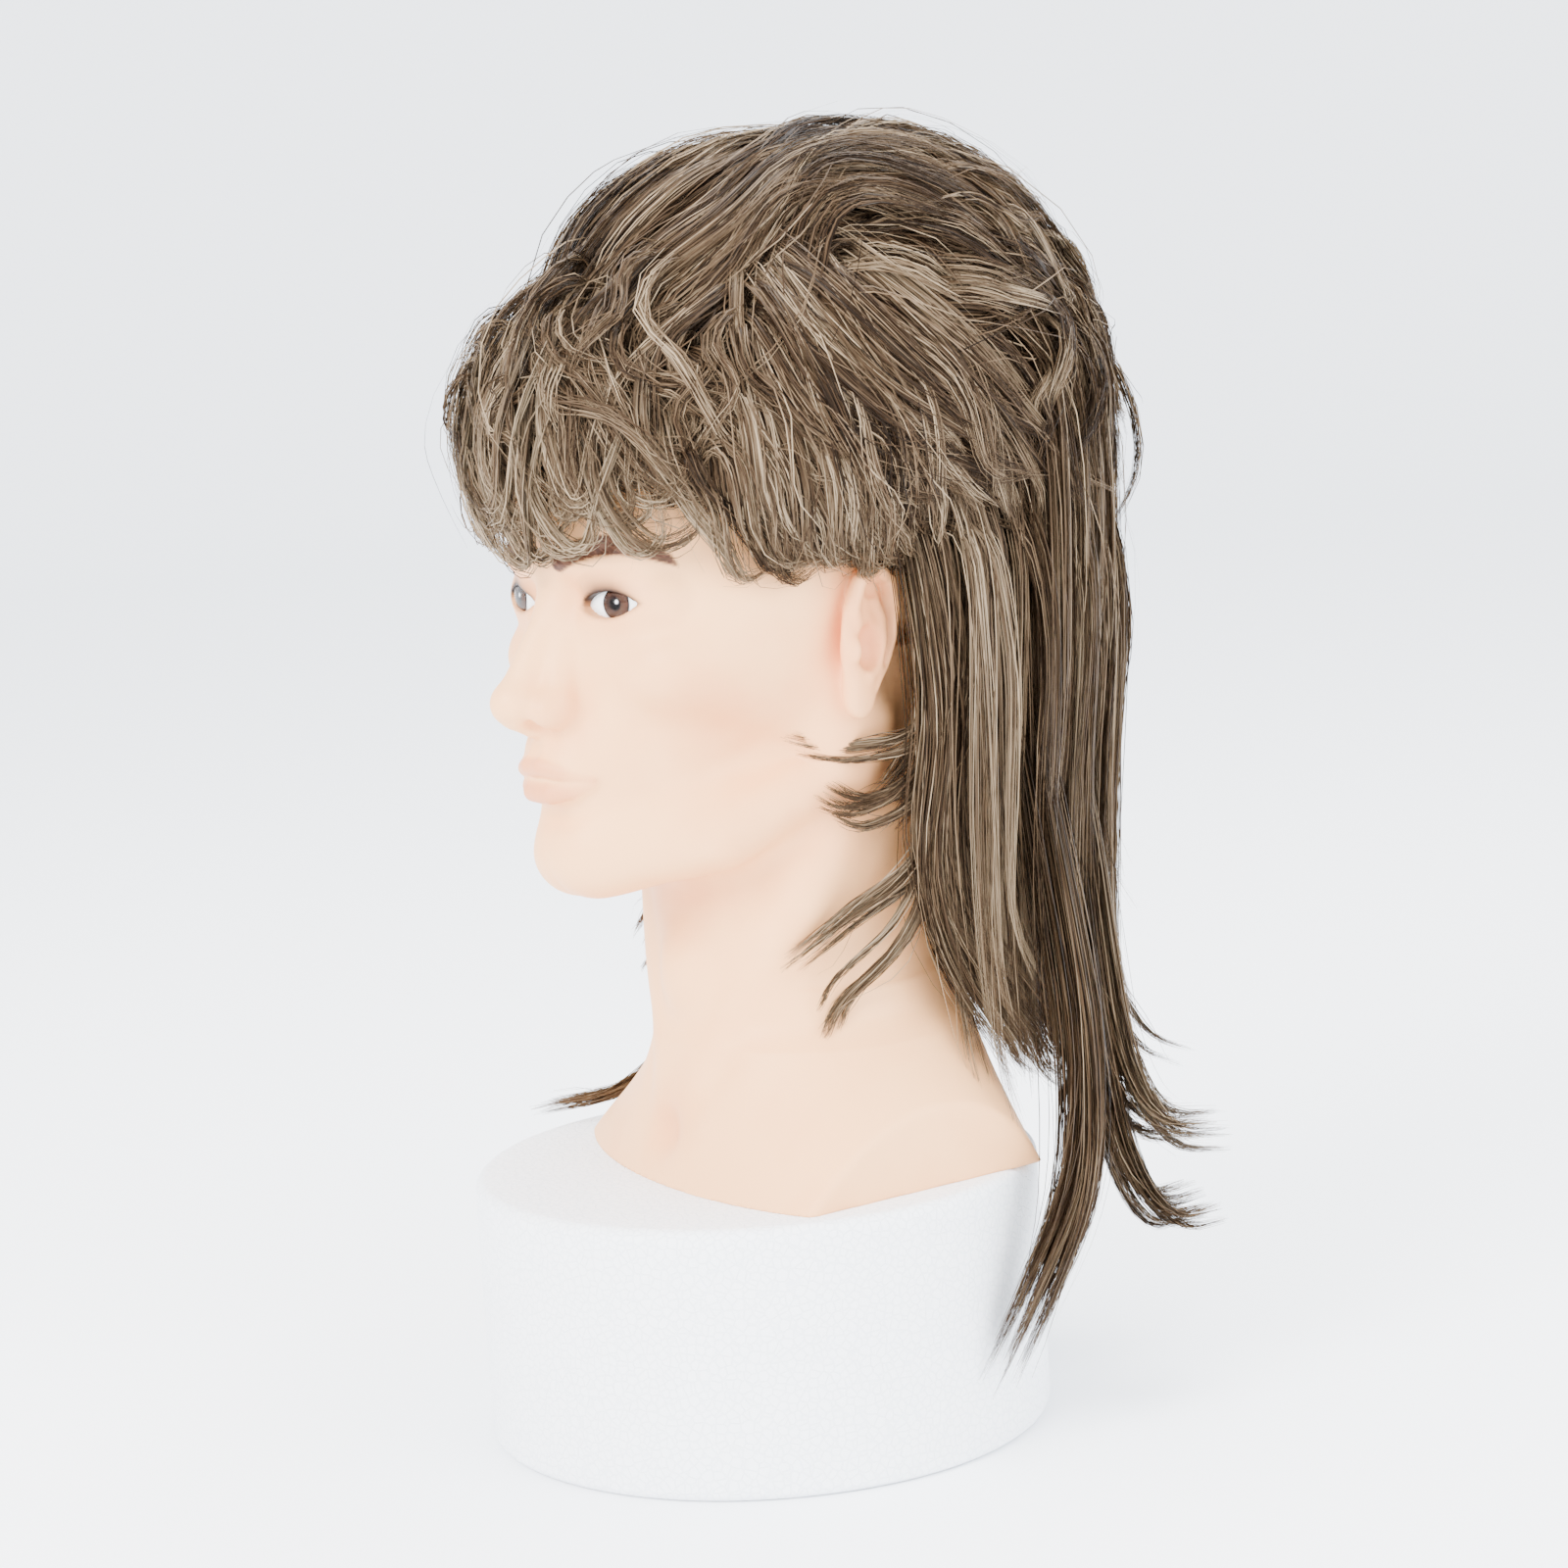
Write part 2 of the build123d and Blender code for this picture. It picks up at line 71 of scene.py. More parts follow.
def add_camera():
    """The viewing angle: a long lens a little above the chin, rolled slightly."""
    azimuth = math.radians(CAMERA_AZIMUTH)
    elevation = math.radians(CAMERA_ELEVATION)
    back = Vector((math.sin(azimuth) * math.cos(elevation),
                   -math.cos(azimuth) * math.cos(elevation),
                   math.sin(elevation)))
    right = Vector((math.cos(azimuth), math.sin(azimuth), 0.0))
    up = back.cross(right)
    roll = Matrix.Rotation(math.radians(CAMERA_ROLL), 3, back)
    data = bpy.data.cameras.new("camera")
    data.lens = CAMERA_LENS
    data.sensor_width = 36.0
    data.shift_x, data.shift_y = CAMERA_SHIFT
    camera = bpy.data.objects.new("camera", data)
    axes = Matrix((roll.inverted() @ right, roll.inverted() @ up, back)).transposed()
    camera.matrix_world = Matrix.Translation(CAMERA_TARGET + back * CAMERA_DISTANCE) @ axes.to_4x4()
    bpy.context.scene.collection.objects.link(camera)
    bpy.context.scene.camera = camera


def add_area_light(name, place, aim, size, power, colour=(1.0, 1.0, 1.0)):
    data = bpy.data.lights.new(name, "AREA")
    data.shape = "DISK"
    data.size = size
    data.energy = power
    data.color = colour
    light = bpy.data.objects.new(name, data)
    light.location = place
    light.rotation_euler = (Vector(aim) - Vector(place)).to_track_quat("-Z", "Y").to_euler()
    bpy.context.scene.collection.objects.link(light)


def add_studio():
    """White surround, a large key from the camera's left, a softer fill and a light from above."""
    world = bpy.data.worlds.new("studio")
    world.use_nodes = True
    background = world.node_tree.nodes["Background"]
    background.inputs["Color"].default_value = (0.93, 0.96, 1.0, 1.0)
    background.inputs["Strength"].default_value = 3.6
    bpy.context.scene.world = world
    add_area_light("key", (0.5, -2.0, 1.5), (0.0, 0.0, 0.33), 1.3, 150.0, (1.0, 0.97, 0.94))
    add_area_light("fill", (2.0, 0.4, 1.0), (0.0, 0.0, 0.3), 1.6, 60.0, (0.95, 0.97, 1.0))
    add_area_light("top", (0.0, 0.5, 2.2), (0.0, 0.0, 0.4), 1.2, 75.0)


def add_floor():
    """A pale studio sweep: flat under the object, curving up far behind it."""
    steps = 48
    reach = 6.0
    flat_end = 4.0
    radius = 2.0
    profile = [(-reach, 0.0), (flat_end, 0.0)]
    for index in range(1, steps + 1):
        angle = math.pi / 2 * index / steps
        profile.append((flat_end + radius * math.sin(angle), radius - radius * math.cos(angle)))
    profile.append((flat_end + radius, reach))
    turn = math.radians(CAMERA_AZIMUTH)
    vertices = []
    for along, height in profile:
        for side in (-reach, reach):
            x = side * math.cos(turn) - along * math.sin(turn)
            y = side * math.sin(turn) + along * math.cos(turn)
            vertices.append((x, y, height))
    faces = [(2 * i, 2 * i + 1, 2 * i + 3, 2 * i + 2) for i in range(len(profile) - 1)]
    mesh = bpy.data.meshes.new("floor")
    mesh.from_pydata(vertices, [], faces)
    floor = bpy.data.objects.new("floor", mesh)
    bpy.context.scene.collection.objects.link(floor)
    nodes = Nodes("floor")
    nodes.set(Base_Color=(0.93, 0.95, 0.98), Roughness=0.9)
    floor.data.materials.append(nodes.material)


# ------------------------------------------------------------ material helper

class Nodes:
    """A new material with a short way to add and link nodes."""

    def __init__(self, name):
        self.material = bpy.data.materials.new(name)
        self.material.use_nodes = True
        self.tree = self.material.node_tree
        self.principled = self.tree.nodes["Principled BSDF"].inputs

    def add(self, kind, settings=None, **sockets):
        node = self.tree.nodes.new(kind)
        for key, value in (settings or {}).items():
            setattr(node, key, value)
        for key, value in sockets.items():
            self.feed(node.inputs[key.replace("_", " ")], value)
        return node

    def feed(self, socket, value):
        if isinstance(value, bpy.types.NodeSocket):
            self.tree.links.new(value, socket)
        elif isinstance(value, tuple) and len(value) == 3 and socket.type == "RGBA":
            socket.default_value = (*value, 1.0)
        else:
            socket.default_value = value

    def set(self, **sockets):
        """Feed the shader's own sockets; an underscore stands for a space."""
        for key, value in sockets.items():
            self.feed(self.principled[key.replace("_", " ")], value)

    def maths(self, operation, first, second=0.0, clamp=False):
        node = self.add("ShaderNodeMath", {"operation": operation, "use_clamp": clamp})
        self.feed(node.inputs[0], first)
        self.feed(node.inputs[1], second)
        return node.outputs[0]

    def mix(self, factor, first, second, blend="MIX"):
        node = self.add("ShaderNodeMix", {"data_type": "RGBA", "blend_type": blend})
        self.feed(node.inputs[0], factor)
        self.feed(node.inputs[6], first)
        self.feed(node.inputs[7], second)
        return node.outputs[2]

    def range(self, value, low, high, to_low=0.0, to_high=1.0):
        node = self.add("ShaderNodeMapRange", {"interpolation_type": "SMOOTHSTEP"})
        for index, item in enumerate((value, low, high, to_low, to_high)):
            self.feed(node.inputs[index], item)
        return node.outputs[0]

    def noise(self, vector, size, detail=2.0):
        """Noise whose features are about `size` metres across."""
        return self.add("ShaderNodeTexNoise", Vector=vector, Scale=1.0 / size,
                        Detail=detail, Roughness=0.5).outputs["Fac"]

    def cells(self, vector, scale):
        """Distance to the edge of packed cells."""
        return self.add("ShaderNodeTexVoronoi", {"feature": "DISTANCE_TO_EDGE"}, Vector=vector,
                        Scale=scale).outputs["Distance"]

    def stretched(self, vector, scale):
        return self.add("ShaderNodeMapping", Vector=vector, Scale=scale).outputs[0]

    def turned(self, vector, angle):
        return self.add("ShaderNodeMapping", Vector=vector, Rotation=(0.0, angle, 0.0)).outputs[0]

    def place(self):
        return self.add("ShaderNodeTexCoord").outputs["Object"]

    def layer(self, name):
        """A layer that paint() put on the mesh."""
        return self.add("ShaderNodeAttribute", {"attribute_name": name}).outputs["Fac"]

    def bump(self, height, distance, strength=1.0):
        node = self.add("ShaderNodeBump", Height=height, Distance=distance, Strength=strength)
        self.feed(self.principled["Normal"], node.outputs[0])


def fast_mesh(name, vertices, faces):
    """A mesh from arrays: vertices in metres and faces that all have the same size."""
    vertices = np.asarray(vertices, dtype=np.float32)
    faces = np.asarray(faces, dtype=np.int32)
    count, size = faces.shape
    mesh = bpy.data.meshes.new(name)
    mesh.vertices.add(len(vertices))
    mesh.vertices.foreach_set("co", vertices.ravel())
    mesh.loops.add(count * size)
    mesh.loops.foreach_set("vertex_index", faces.ravel())
    mesh.polygons.add(count)
    mesh.polygons.foreach_set("loop_start", np.arange(count, dtype=np.int32) * size)
    mesh.update(calc_edges=True)
    mesh.shade_smooth()
    return mesh


def new_piece(name, mesh, body, material, replaces):
    """A piece that rides on a body and stands for some nodes of the frame."""
    piece = bpy.data.objects.new(name, mesh)
    bpy.context.scene.collection.objects.link(piece)
    piece.data.materials.append(material)
    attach(piece, body)
    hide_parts(*replaces)


def paint(mesh, name, values):
    """A per-vertex layer for the material's nodes to read."""
    layer = mesh.attributes.new(name, "FLOAT", "POINT")
    layer.data.foreach_set("value", np.asarray(values, dtype=np.float32))


# ------------------------------------------------------------ implicit forms, in millimetres

def rotation(yaw=0.0, pitch=0.0, roll=0.0):
    """Rows are the local axes: yaw about Z, then pitch about X, then roll about Y."""
    turn = Matrix.Rotation(math.radians(yaw), 3, "Z")
    turn = turn @ Matrix.Rotation(math.radians(pitch), 3, "X")
    turn = turn @ Matrix.Rotation(math.radians(roll), 3, "Y")
    return np.array(turn, dtype=np.float32).T


def ellipsoid(points, centre, half, turn=None):
    offset = points - np.float32(centre)
    if turn is not None:
        offset = offset @ turn.T
    near = offset / np.float32(half)
    first = np.sqrt(np.einsum("ij,ij->i", near, near)) + 1e-6
    near /= np.float32(half)
    second = np.sqrt(np.einsum("ij,ij->i", near, near)) + 1e-6
    return first * (first - 1.0) / second


def capsule(points, start, end, start_radius, end_radius):
    """A rounded cone between two points."""
    start = np.float32(start)
    along = np.float32(end) - start
    offset = points - start
    share = np.clip(offset @ along / float(along @ along), 0.0, 1.0)
    gap = offset - share[:, None] * along
    return np.sqrt(np.einsum("ij,ij->i", gap, gap)) - (start_radius + share * (end_radius - start_radius))


def chain(points, path, radii):
    """Rounded cones joined end to end."""
    parts = [capsule(points, path[i], path[i + 1], radii[i], radii[i + 1]) for i in range(len(path) - 1)]
    return np.minimum.reduce(parts)


def fold(points):
    """A copy with the right side mirrored onto the left."""
    folded = np.array(points, dtype=np.float32)
    folded[:, 0] = np.abs(folded[:, 0])
    return folded


def both_sides(points, form, *arguments):
    """The left side's form, mirrored onto the right."""
    return form(fold(points), *arguments)


def join(first, second, blend):
    """Smooth union."""
    near = np.maximum(blend - np.abs(first - second), 0.0) / blend
    return np.minimum(first, second) - near * near * blend * 0.25


def carve(first, tool, blend):
    """Smooth difference."""
    return -join(-first, tool, blend)


def stroke(points, centre, spread, amount, turn=None):
    """A soft push of the surface: positive raises it, negative presses it in."""
    offset = points - np.float32(centre)
    if turn is not None:
        offset = offset @ turn.T
    near = offset / np.float32(spread)
    return amount * np.exp(-np.einsum("ij,ij->i", near, near))


# ------------------------------------------------------------ the head's forms

SKULL_CENTRE = (0.0, 12.0, 362.0)
EYE_CENTRE = (29.5, -57.0, 338.0)
EYE_HALF = (23.0, 14.5, 15.0)
EYE_YAW = 16.0
LID_THICKNESS = 1.3
LID_HALF_WIDTH = 13.4
LID_UPPER = 5.4
LID_LOWER = 4.6
LID_TILT = 3.0
BUST_BASE = 106.0
BUST_TURN = -9.0
BUST_OFFSET_X = 5.0
SHELL_WALL = 4.2
EAR_CENTRE = (73.5, 13.5, 318.0)


def cranium(points):
    skull = ellipsoid(points, SKULL_CENTRE, (71.0, 91.0, 83.4))
    forehead = ellipsoid(points, (0, -22, 362), (57, 58, 50))
    return join(skull, forehead, 12.0)


def face_mass(points):
    """Cheeks, muzzle, chin and jaw, before the features are laid on."""
    form = ellipsoid(points, (0, -20, 318), (58, 59, 60))
    form = join(form, ellipsoid(points, (0, -44, 278), (36, 46, 30)), 16.0)
    form = join(form, ellipsoid(points, (0, -66, 240), (20, 19, 14.5)), 12.0)
    jaw = both_sides(points, chain, [(8, -70, 240), (40, -34, 246), (54, 4, 266), (58, 12, 300)],
                     [13, 13, 12, 14])
    form = join(form, jaw, 14.0)
    floor = ellipsoid(points, (0, -22, 252), (44, 56, 26))
    form = join(form, floor, 14.0)
    cheek = both_sides(points, ellipsoid, (40, -46, 313), (20, 24, 17))
    form = join(form, cheek, 14.0)
    temple = both_sides(points, ellipsoid, (50, -8, 330), (19, 40, 44))
    return join(form, temple, 14.0)


def neck_mass(points):
    x, y, z = points[:, 0], points[:, 1], points[:, 2]
    lean = np.interp(z, (130, 210, 300), (2.0, 0.0, -6.0))
    width = np.interp(z, (130, 170, 215, 300), (62, 57, 56, 60))
    depth = np.interp(z, (130, 170, 215, 300), (63, 60, 59, 62))
    reach = np.sqrt((x / width) ** 2 + ((y - 30.0 - lean) / depth) ** 2)
    column = (reach - 1.0) * 57.0
    column = np.maximum(column, z - 310.0)
    cords = both_sides(points, chain, [(58, 26, 282), (44, -3, 215), (21, -19, 165), (11, -24, 138)],
                       [8, 9, 7, 5])
    form = join(column, cords, 14.0)
    apple = ellipsoid(points, (0, -25, 186), (11, 10, 15))
    return join(form, apple, 12.0)


def bust_mass(points):
    """The shoulder flare, cut flat at the sides and below, in the bust's turned frame."""
    turn = math.radians(BUST_TURN)
    shifted = points[:, 0] - BUST_OFFSET_X
    x = shifted * math.cos(turn) + points[:, 1] * math.sin(turn)
    y = -shifted * math.sin(turn) + points[:, 1] * math.cos(turn)
    z = points[:, 2]
    rise = np.clip((z - BUST_BASE) / 62.0, 0.0, 1.5)
    fall = np.maximum(1.0 - rise, 0.0)
    tuck = 26.0 * np.maximum(rise - 0.85, 0.0)
    width = 58.0 + 76.0 * fall ** 1.35 - tuck
    front = -31.0 - 20.0 * fall ** 1.2 + tuck
    back = 89.0 + 7.0 * fall - tuck
    middle = (front + back) / 2.0
    depth = (back - front) / 2.0
    reach = np.sqrt((x / width) ** 2 + ((y - middle) / depth) ** 2)
    form = (reach - 1.0) * 60.0 * 0.75
    form = np.maximum(form, z - 178.0)
    cut_x = 94.0 - (y + 26.0) * (12.0 / 106.0)
    return -join(-form, cut_x - np.abs(x), 2.2)


def nose_form(points):
    form = chain(points, [(0, -72, 346), (0, -80, 334), (0, -92, 314), (0, -97.5, 304)], [5, 5.2, 6.2, 7.5])
    form = join(form, ellipsoid(points, (0, -98.3, 302), (8.5, 9.2, 8.2)), 4.0)
    wall = both_sides(points, chain, [(3, -74, 334), (6.5, -80, 319), (9.5, -85, 304)], [5.5, 6.2, 6.6])
    form = join(form, wall, 6.0)
    wing = both_sides(points, ellipsoid, (10.8, -88.0, 299.0), (6.2, 9.0, 7.0))
    form = join(form, wing, 5.0)
    base = capsule(points, (0, -98, 296.5), (0, -91, 293), 4.2, 4.5)
    return join(form, base, 3.0)


def nostrils(points):
    return both_sides(points, ellipsoid, (6.3, -94.5, 292.8), (3.1, 5.2, 3.6), rotation(yaw=18))


def lips_form(points):
    upper = both_sides(points, chain,
                       [(0, -90.6, 276.6), (4, -90.8, 277.2), (12, -87.6, 275.2), (22.0, -79.6, 272.2)],
                       [3.0, 3.1, 2.5, 0.7])
    lower = both_sides(points, chain,
                       [(0, -88.6, 266.8), (6, -88.2, 266.8), (13, -85.0, 267.8), (21.0, -79.2, 270.6)],
                       [4.2, 4.1, 3.0, 0.8])
    return join(upper, lower, 0.8)


def mouth_line(points):
    return both_sides(points, chain,
                      [(0, -95.0, 272.0), (5, -94.6, 272.6), (15, -89.2, 271.8), (27, -79.8, 271.0)],
                      [0.7, 0.7, 0.75, 0.9])


def lid_opening(points):
    """An almond seen along Y: below the upper lid's arc and above the lower lid's."""
    tilt = math.radians(LID_TILT)
    x = points[:, 0] - EYE_CENTRE[0]
    z = points[:, 2] - EYE_CENTRE[2]
    x, z = x * math.cos(tilt) + z * math.sin(tilt), -x * math.sin(tilt) + z * math.cos(tilt)
    upper_radius = (LID_HALF_WIDTH ** 2 + LID_UPPER ** 2) / (2 * LID_UPPER)
    lower_radius = (LID_HALF_WIDTH ** 2 + LID_LOWER ** 2) / (2 * LID_LOWER)
    upper = np.hypot(x, z - (LID_UPPER - upper_radius)) - upper_radius
    lower = np.hypot(x, z + (LID_LOWER - lower_radius)) - lower_radius
    almond = np.maximum(upper, lower)
    return np.maximum(almond, points[:, 1] + 50.0)


def eye_ball(points, growth=0.0):
    """The left eye's surface: wider than high, and turned a little outwards."""
    half = [value + growth for value in EYE_HALF]
    return ellipsoid(points, EYE_CENTRE, half, rotation(yaw=EYE_YAW))


def lid_form(points):
    return eye_ball(points, LID_THICKNESS)


def eye_recess(points):
    """The almond in front of the eye's surface."""
    return np.maximum(lid_opening(points), -0.6 - eye_ball(points))


def ear_form(points):
    """The left ear in its own axes: outwards, backwards and upwards."""
    local = (points - np.float32(EAR_CENTRE)) @ rotation(yaw=20, pitch=-10).T
    form = ellipsoid(local, (0, 0, 0), (4.2, 14.0, 27.0))
    form = join(form, ellipsoid(local, (0.3, -2.0, -22.0), (3.8, 8.0, 9.0)), 5.0)
    rim = [(1, -6, 1), (2, -10.5, 11), (3, -8, 21), (4, 1.5, 27), (4.5, 10.5, 22.5), (4.5, 14, 12),
           (4, 13.6, 0), (3, 10.5, -10), (2, 6, -18)]
    form = join(form, chain(local, rim, [2.2, 2.6, 2.9, 3.0, 3.0, 2.9, 2.6, 2.4, 2.0]), 2.2)
    fold = [(2, 2, 15), (3.2, 7, 8), (3.6, 8.2, -2), (3.0, 5.5, -11), (2.6, 0, -14.5)]
    form = join(form, chain(local, fold, [2.0, 2.5, 2.7, 2.5, 2.4]), 3.0)
    form = join(form, ellipsoid(local, (2.2, -9.8, -5.5), (3.6, 3.2, 4.8)), 3.0)
    form = carve(form, ellipsoid(local, (5.2, -1.6, -3.6), (6.6, 6.8, 9.0)), 2.0)
    groove = [(5.2, 6.2, 19), (5.6, 10.8, 12), (5.6, 11.2, 1), (5.0, 8.6, -9)]
    form = carve(form, chain(local, groove, [1.8, 1.9, 1.7, 1.3]), 1.6)
    return carve(form, ellipsoid(local, (4.6, -1.2, 18.0), (3.0, 4.6, 3.6)), 1.6)


# Sculpting strokes on the left half of the face: centre, spread, height and roll in degrees.
STROKES = [
    ((24, -80, 353), (20, 14, 6.5), 3.2, 0),      # brow ridge
    ((40, -70, 354), (13, 16, 7), 2.0, 0),        # its outer end
    ((13, -74, 341), (6.5, 12, 9), -4.2, 0),      # inner corner of the eye
    ((30, -74, 349), (16, 12, 4.0), -1.4, 0),     # above the upper lid
    ((24, -76, 323), (13, 12, 6), -1.6, 0),       # under the eye
    ((21, -86, 290), (5, 12, 13), -1.8, -28),     # fold from nose to mouth
    ((40, -66, 283), (14, 24, 18), -2.6, 0),      # hollow of the cheek
    ((27, -82, 270), (5, 9, 7), -1.6, 0),         # corner of the mouth
    ((0, -100, 286), (2.6, 12, 6.5), -1.5, 0),    # groove under the nose
    ((4.4, -100, 285), (2.0, 12, 6.5), 0.7, 0),   # the groove's ridges
    ((0, -90, 256.5), (15, 12, 4.2), -2.6, 0),    # under the lower lip
    ((0, -88, 241), (13, 12, 8.5), 1.2, 0),       # chin
    ((52, -40, 352), (14, 24, 20), -1.8, 0),      # temple
    ((0, -80, 343.5), (8, 9, 6), -0.9, 0),        # root of the nose
    ((0, -42, 124), (9, 12, 9), -4.0, 0),         # pit of the throat
    ((26, -30, 150), (7, 14, 24), -1.6, 22),      # beside the neck's cord
]


def soft_strokes(points):
    """All strokes together, for points folded onto the left half."""
    return sum(stroke(points, centre, spread, amount, rotation(roll=roll) if roll else None)
               for centre, spread, amount, roll in STROKES)


def head_surface(points):
    """Signed distance to the head's outer surface, negative inside."""
    points = np.asarray(points, dtype=np.float32)
    folded = fold(points)
    form = join(cranium(points), face_mass(points), 14.0)
    form = join(form, neck_mass(points), 10.0)
    form = join(form, bust_mass(points), 9.0)
    form = form - soft_strokes(folded)
    form = join(form, nose_form(points), 7.0)
    form = join(form, lips_form(points), 5.0)
    form = carve(form, mouth_line(points), 1.3)
    form = carve(form, nostrils(points), 1.6)
    form = join(form, lid_form(folded), 3.2)
    return join(form, ear_form(folded), 3.4)


def head_solid(points):
    """The hollow shell: open below, with almond recesses that the eyes sit in."""
    points = np.asarray(points, dtype=np.float32)
    folded = fold(points)
    outer = head_surface(points)
    form = carve(outer, eye_recess(folded), 0.7)
    hollow = np.maximum(outer + SHELL_WALL, points[:, 2] - 166.0)
    form = np.maximum(form, -hollow)
    return np.maximum(form, BUST_BASE - points[:, 2])


# ------------------------------------------------------------ from an implicit form to a mesh

COARSE = 6


def grid_axis(stations):
    """Grid lines whose spacing changes at the given (start, spacing) stations."""
    lines = []
    for (start, spacing), (end, _) in zip(stations, stations[1:]):
        count = max(1, round((end - start) / spacing))
        lines += list(np.linspace(start, end, count, endpoint=False))
    lines.append(stations[-1][0])
    while (len(lines) - 1) % COARSE:
        lines.append(lines[-1] + stations[-1][1])
    return np.array(lines, dtype=np.float32)


def sample_near_surface(form, axes, reach):
    """Values of a form on a grid, exact only in the coarse cells that the surface may cross."""
    coarse_axes = [axis[::COARSE] for axis in axes]
    mesh = np.stack(np.meshgrid(*coarse_axes, indexing="ij"), axis=-1)
    coarse = form(mesh.reshape(-1, 3)).reshape(mesh.shape[:3])
    cells = tuple(size - 1 for size in coarse.shape)
    low = np.full(cells, np.inf, dtype=np.float32)
    for corner in np.ndindex(2, 2, 2):
        part = tuple(slice(c, c + n) for c, n in zip(corner, cells))
        low = np.minimum(low, np.abs(coarse[part]))
    active = np.argwhere(low < reach)
    values = coarse.repeat(COARSE, 0).repeat(COARSE, 1).repeat(COARSE, 2)
    values = values[:len(axes[0]), :len(axes[1]), :len(axes[2])].astype(np.float32)
    step = np.stack(np.meshgrid(*[np.arange(COARSE + 1)] * 3, indexing="ij"), axis=-1).reshape(-1, 3)
    batch = 3000
    for first in range(0, len(active), batch):
        index = (active[first:first + batch, None, :] * COARSE + step[None]).reshape(-1, 3)
        i, j, k = index.T
        points = np.stack((axes[0][i], axes[1][j], axes[2][k]), axis=1)
        values[i, j, k] = form(points)
    return values


def surface_net(values, axes):
    """Vertices at the mean crossing of each mixed cell, and a quad round each crossed edge."""
    inside = values < 0
    total = np.zeros(tuple(n - 1 for n in values.shape), dtype=np.uint8)
    for corner in np.ndindex(2, 2, 2):
        part = tuple(slice(c, c + n - 1) for c, n in zip(corner, values.shape))
        total += inside[part]
    cells = np.argwhere((total > 0) & (total < 8))
    number = np.full(total.shape, -1, dtype=np.int32)
    number[tuple(cells.T)] = np.arange(len(cells))
    spot_sum = np.zeros((len(cells), 3), dtype=np.float32)
    hits = np.zeros(len(cells), dtype=np.float32)
    for axis in range(3):
        step = np.eye(3, dtype=int)[axis]
        others = [a for a in range(3) if a != axis]
        for shift in np.ndindex(2, 2):
            base = cells.copy()
            base[:, others[0]] += shift[0]
            base[:, others[1]] += shift[1]
            first = values[tuple(base.T)]
            second = values[tuple((base + step).T)]
            crossed = (first < 0) != (second < 0)
            share = np.where(crossed, first / np.where(crossed, first - second, 1.0), 0.0)
            start = np.stack([axes[a][base[:, a]] for a in range(3)], axis=1)
            end = np.stack([axes[a][(base + step)[:, a]] for a in range(3)], axis=1)
            spot = start + (end - start) * share[:, None]
            spot_sum += np.where(crossed[:, None], spot, 0.0)
            hits += crossed
    vertices = spot_sum / hits[:, None]
    faces = []
    for axis in range(3):
        before = [slice(1, -1)] * 3
        after = [slice(1, -1)] * 3
        before[axis] = slice(0, -1)
        after[axis] = slice(1, None)
        first = inside[tuple(before)]
        second = inside[tuple(after)]
        offset = np.ones(3, dtype=int)
        offset[axis] = 0
        edges = np.argwhere(first != second) + offset
        leaving = first[first != second]
        u, v = [np.eye(3, dtype=int)[a] for a in ((axis + 1) % 3, (axis + 2) % 3)]
        ring = np.stack([number[tuple((edges - shift).T)] for shift in (u + v, v, 0 * u, u)], axis=1)
        ring[~leaving] = ring[~leaving][:, ::-1]
        faces.append(ring)
    return vertices, np.concatenate(faces)


def settle(form, vertices, rounds=2):
    """Move vertices onto the surface along its gradient."""
    delta = 0.15
    for _ in range(rounds):
        value = form(vertices)
        slope = np.empty_like(vertices)
        for axis in range(3):
            probe = vertices.copy()
            probe[:, axis] += delta
            slope[:, axis] = (form(probe) - value) / delta
        size = np.einsum("ij,ij->i", slope, slope)
        move = slope * (value / np.maximum(size, 0.2))[:, None]
        vertices = vertices - np.clip(move, -0.6, 0.6)
    return vertices


def mesh_from(form, axes, reach):
    values = sample_near_surface(form, axes, reach)
    vertices, faces = surface_net(values, axes)
    return settle(form, vertices.astype(np.float32)), faces


# ------------------------------------------------------------ painted face

BROW_PATH = [(13, -82.4, 354.6), (20, -80, 358.4), (29, -76.5, 361.0), (38, -70.5, 361.0),
             (45, -63.5, 358.6), (49.5, -57, 354.6), (51.5, -54, 351.6)]
BROW_HALF_WIDTHS = [3.6, 4.6, 4.3, 3.9, 3.2, 2.0, 0.5]


def brow_mask(points):
    """1 inside the painted brow and 0 outside, on the folded left half."""
    gap = chain(points, BROW_PATH, BROW_HALF_WIDTHS)
    tail_cut = np.clip((points[:, 2] - 350.6) / 0.6, 0.0, 1.0)
    return np.clip(0.5 - gap / 0.9, 0.0, 1.0) * tail_cut


def lid_masks(points):
    """The dark lash line along the opening, and painted shade above it, darkest near the edge and reaching
    higher at the inner corner.
    """
    edge = lid_opening(points)
    across = (points[:, 0] - EYE_CENTRE[0]) / LID_HALF_WIDTH
    above = np.clip((points[:, 2] - EYE_CENTRE[2] + 1.0) / 3.0, 0.0, 1.0)
    near = (np.linalg.norm(points - np.float32(EYE_CENTRE), axis=1) < 26.0) & (points[:, 1] < -50.0)
    lash = np.exp(-(np.maximum(edge - 0.3, 0.0) / 0.9) ** 2) * (0.35 + 0.65 * above)
    height = 4.6 - 1.6 * across
    shade = np.exp(-(np.maximum(edge, 0.0) / height) ** 2) * above * np.clip(1.25 - np.abs(across), 0, 1)
    return lash * near, shade * near


def lip_mask(points):
    """The lips' own colour, fading over a millimetre at their border."""
    return np.clip(0.9 - lips_form(points) / 1.4, 0.0, 1.0)
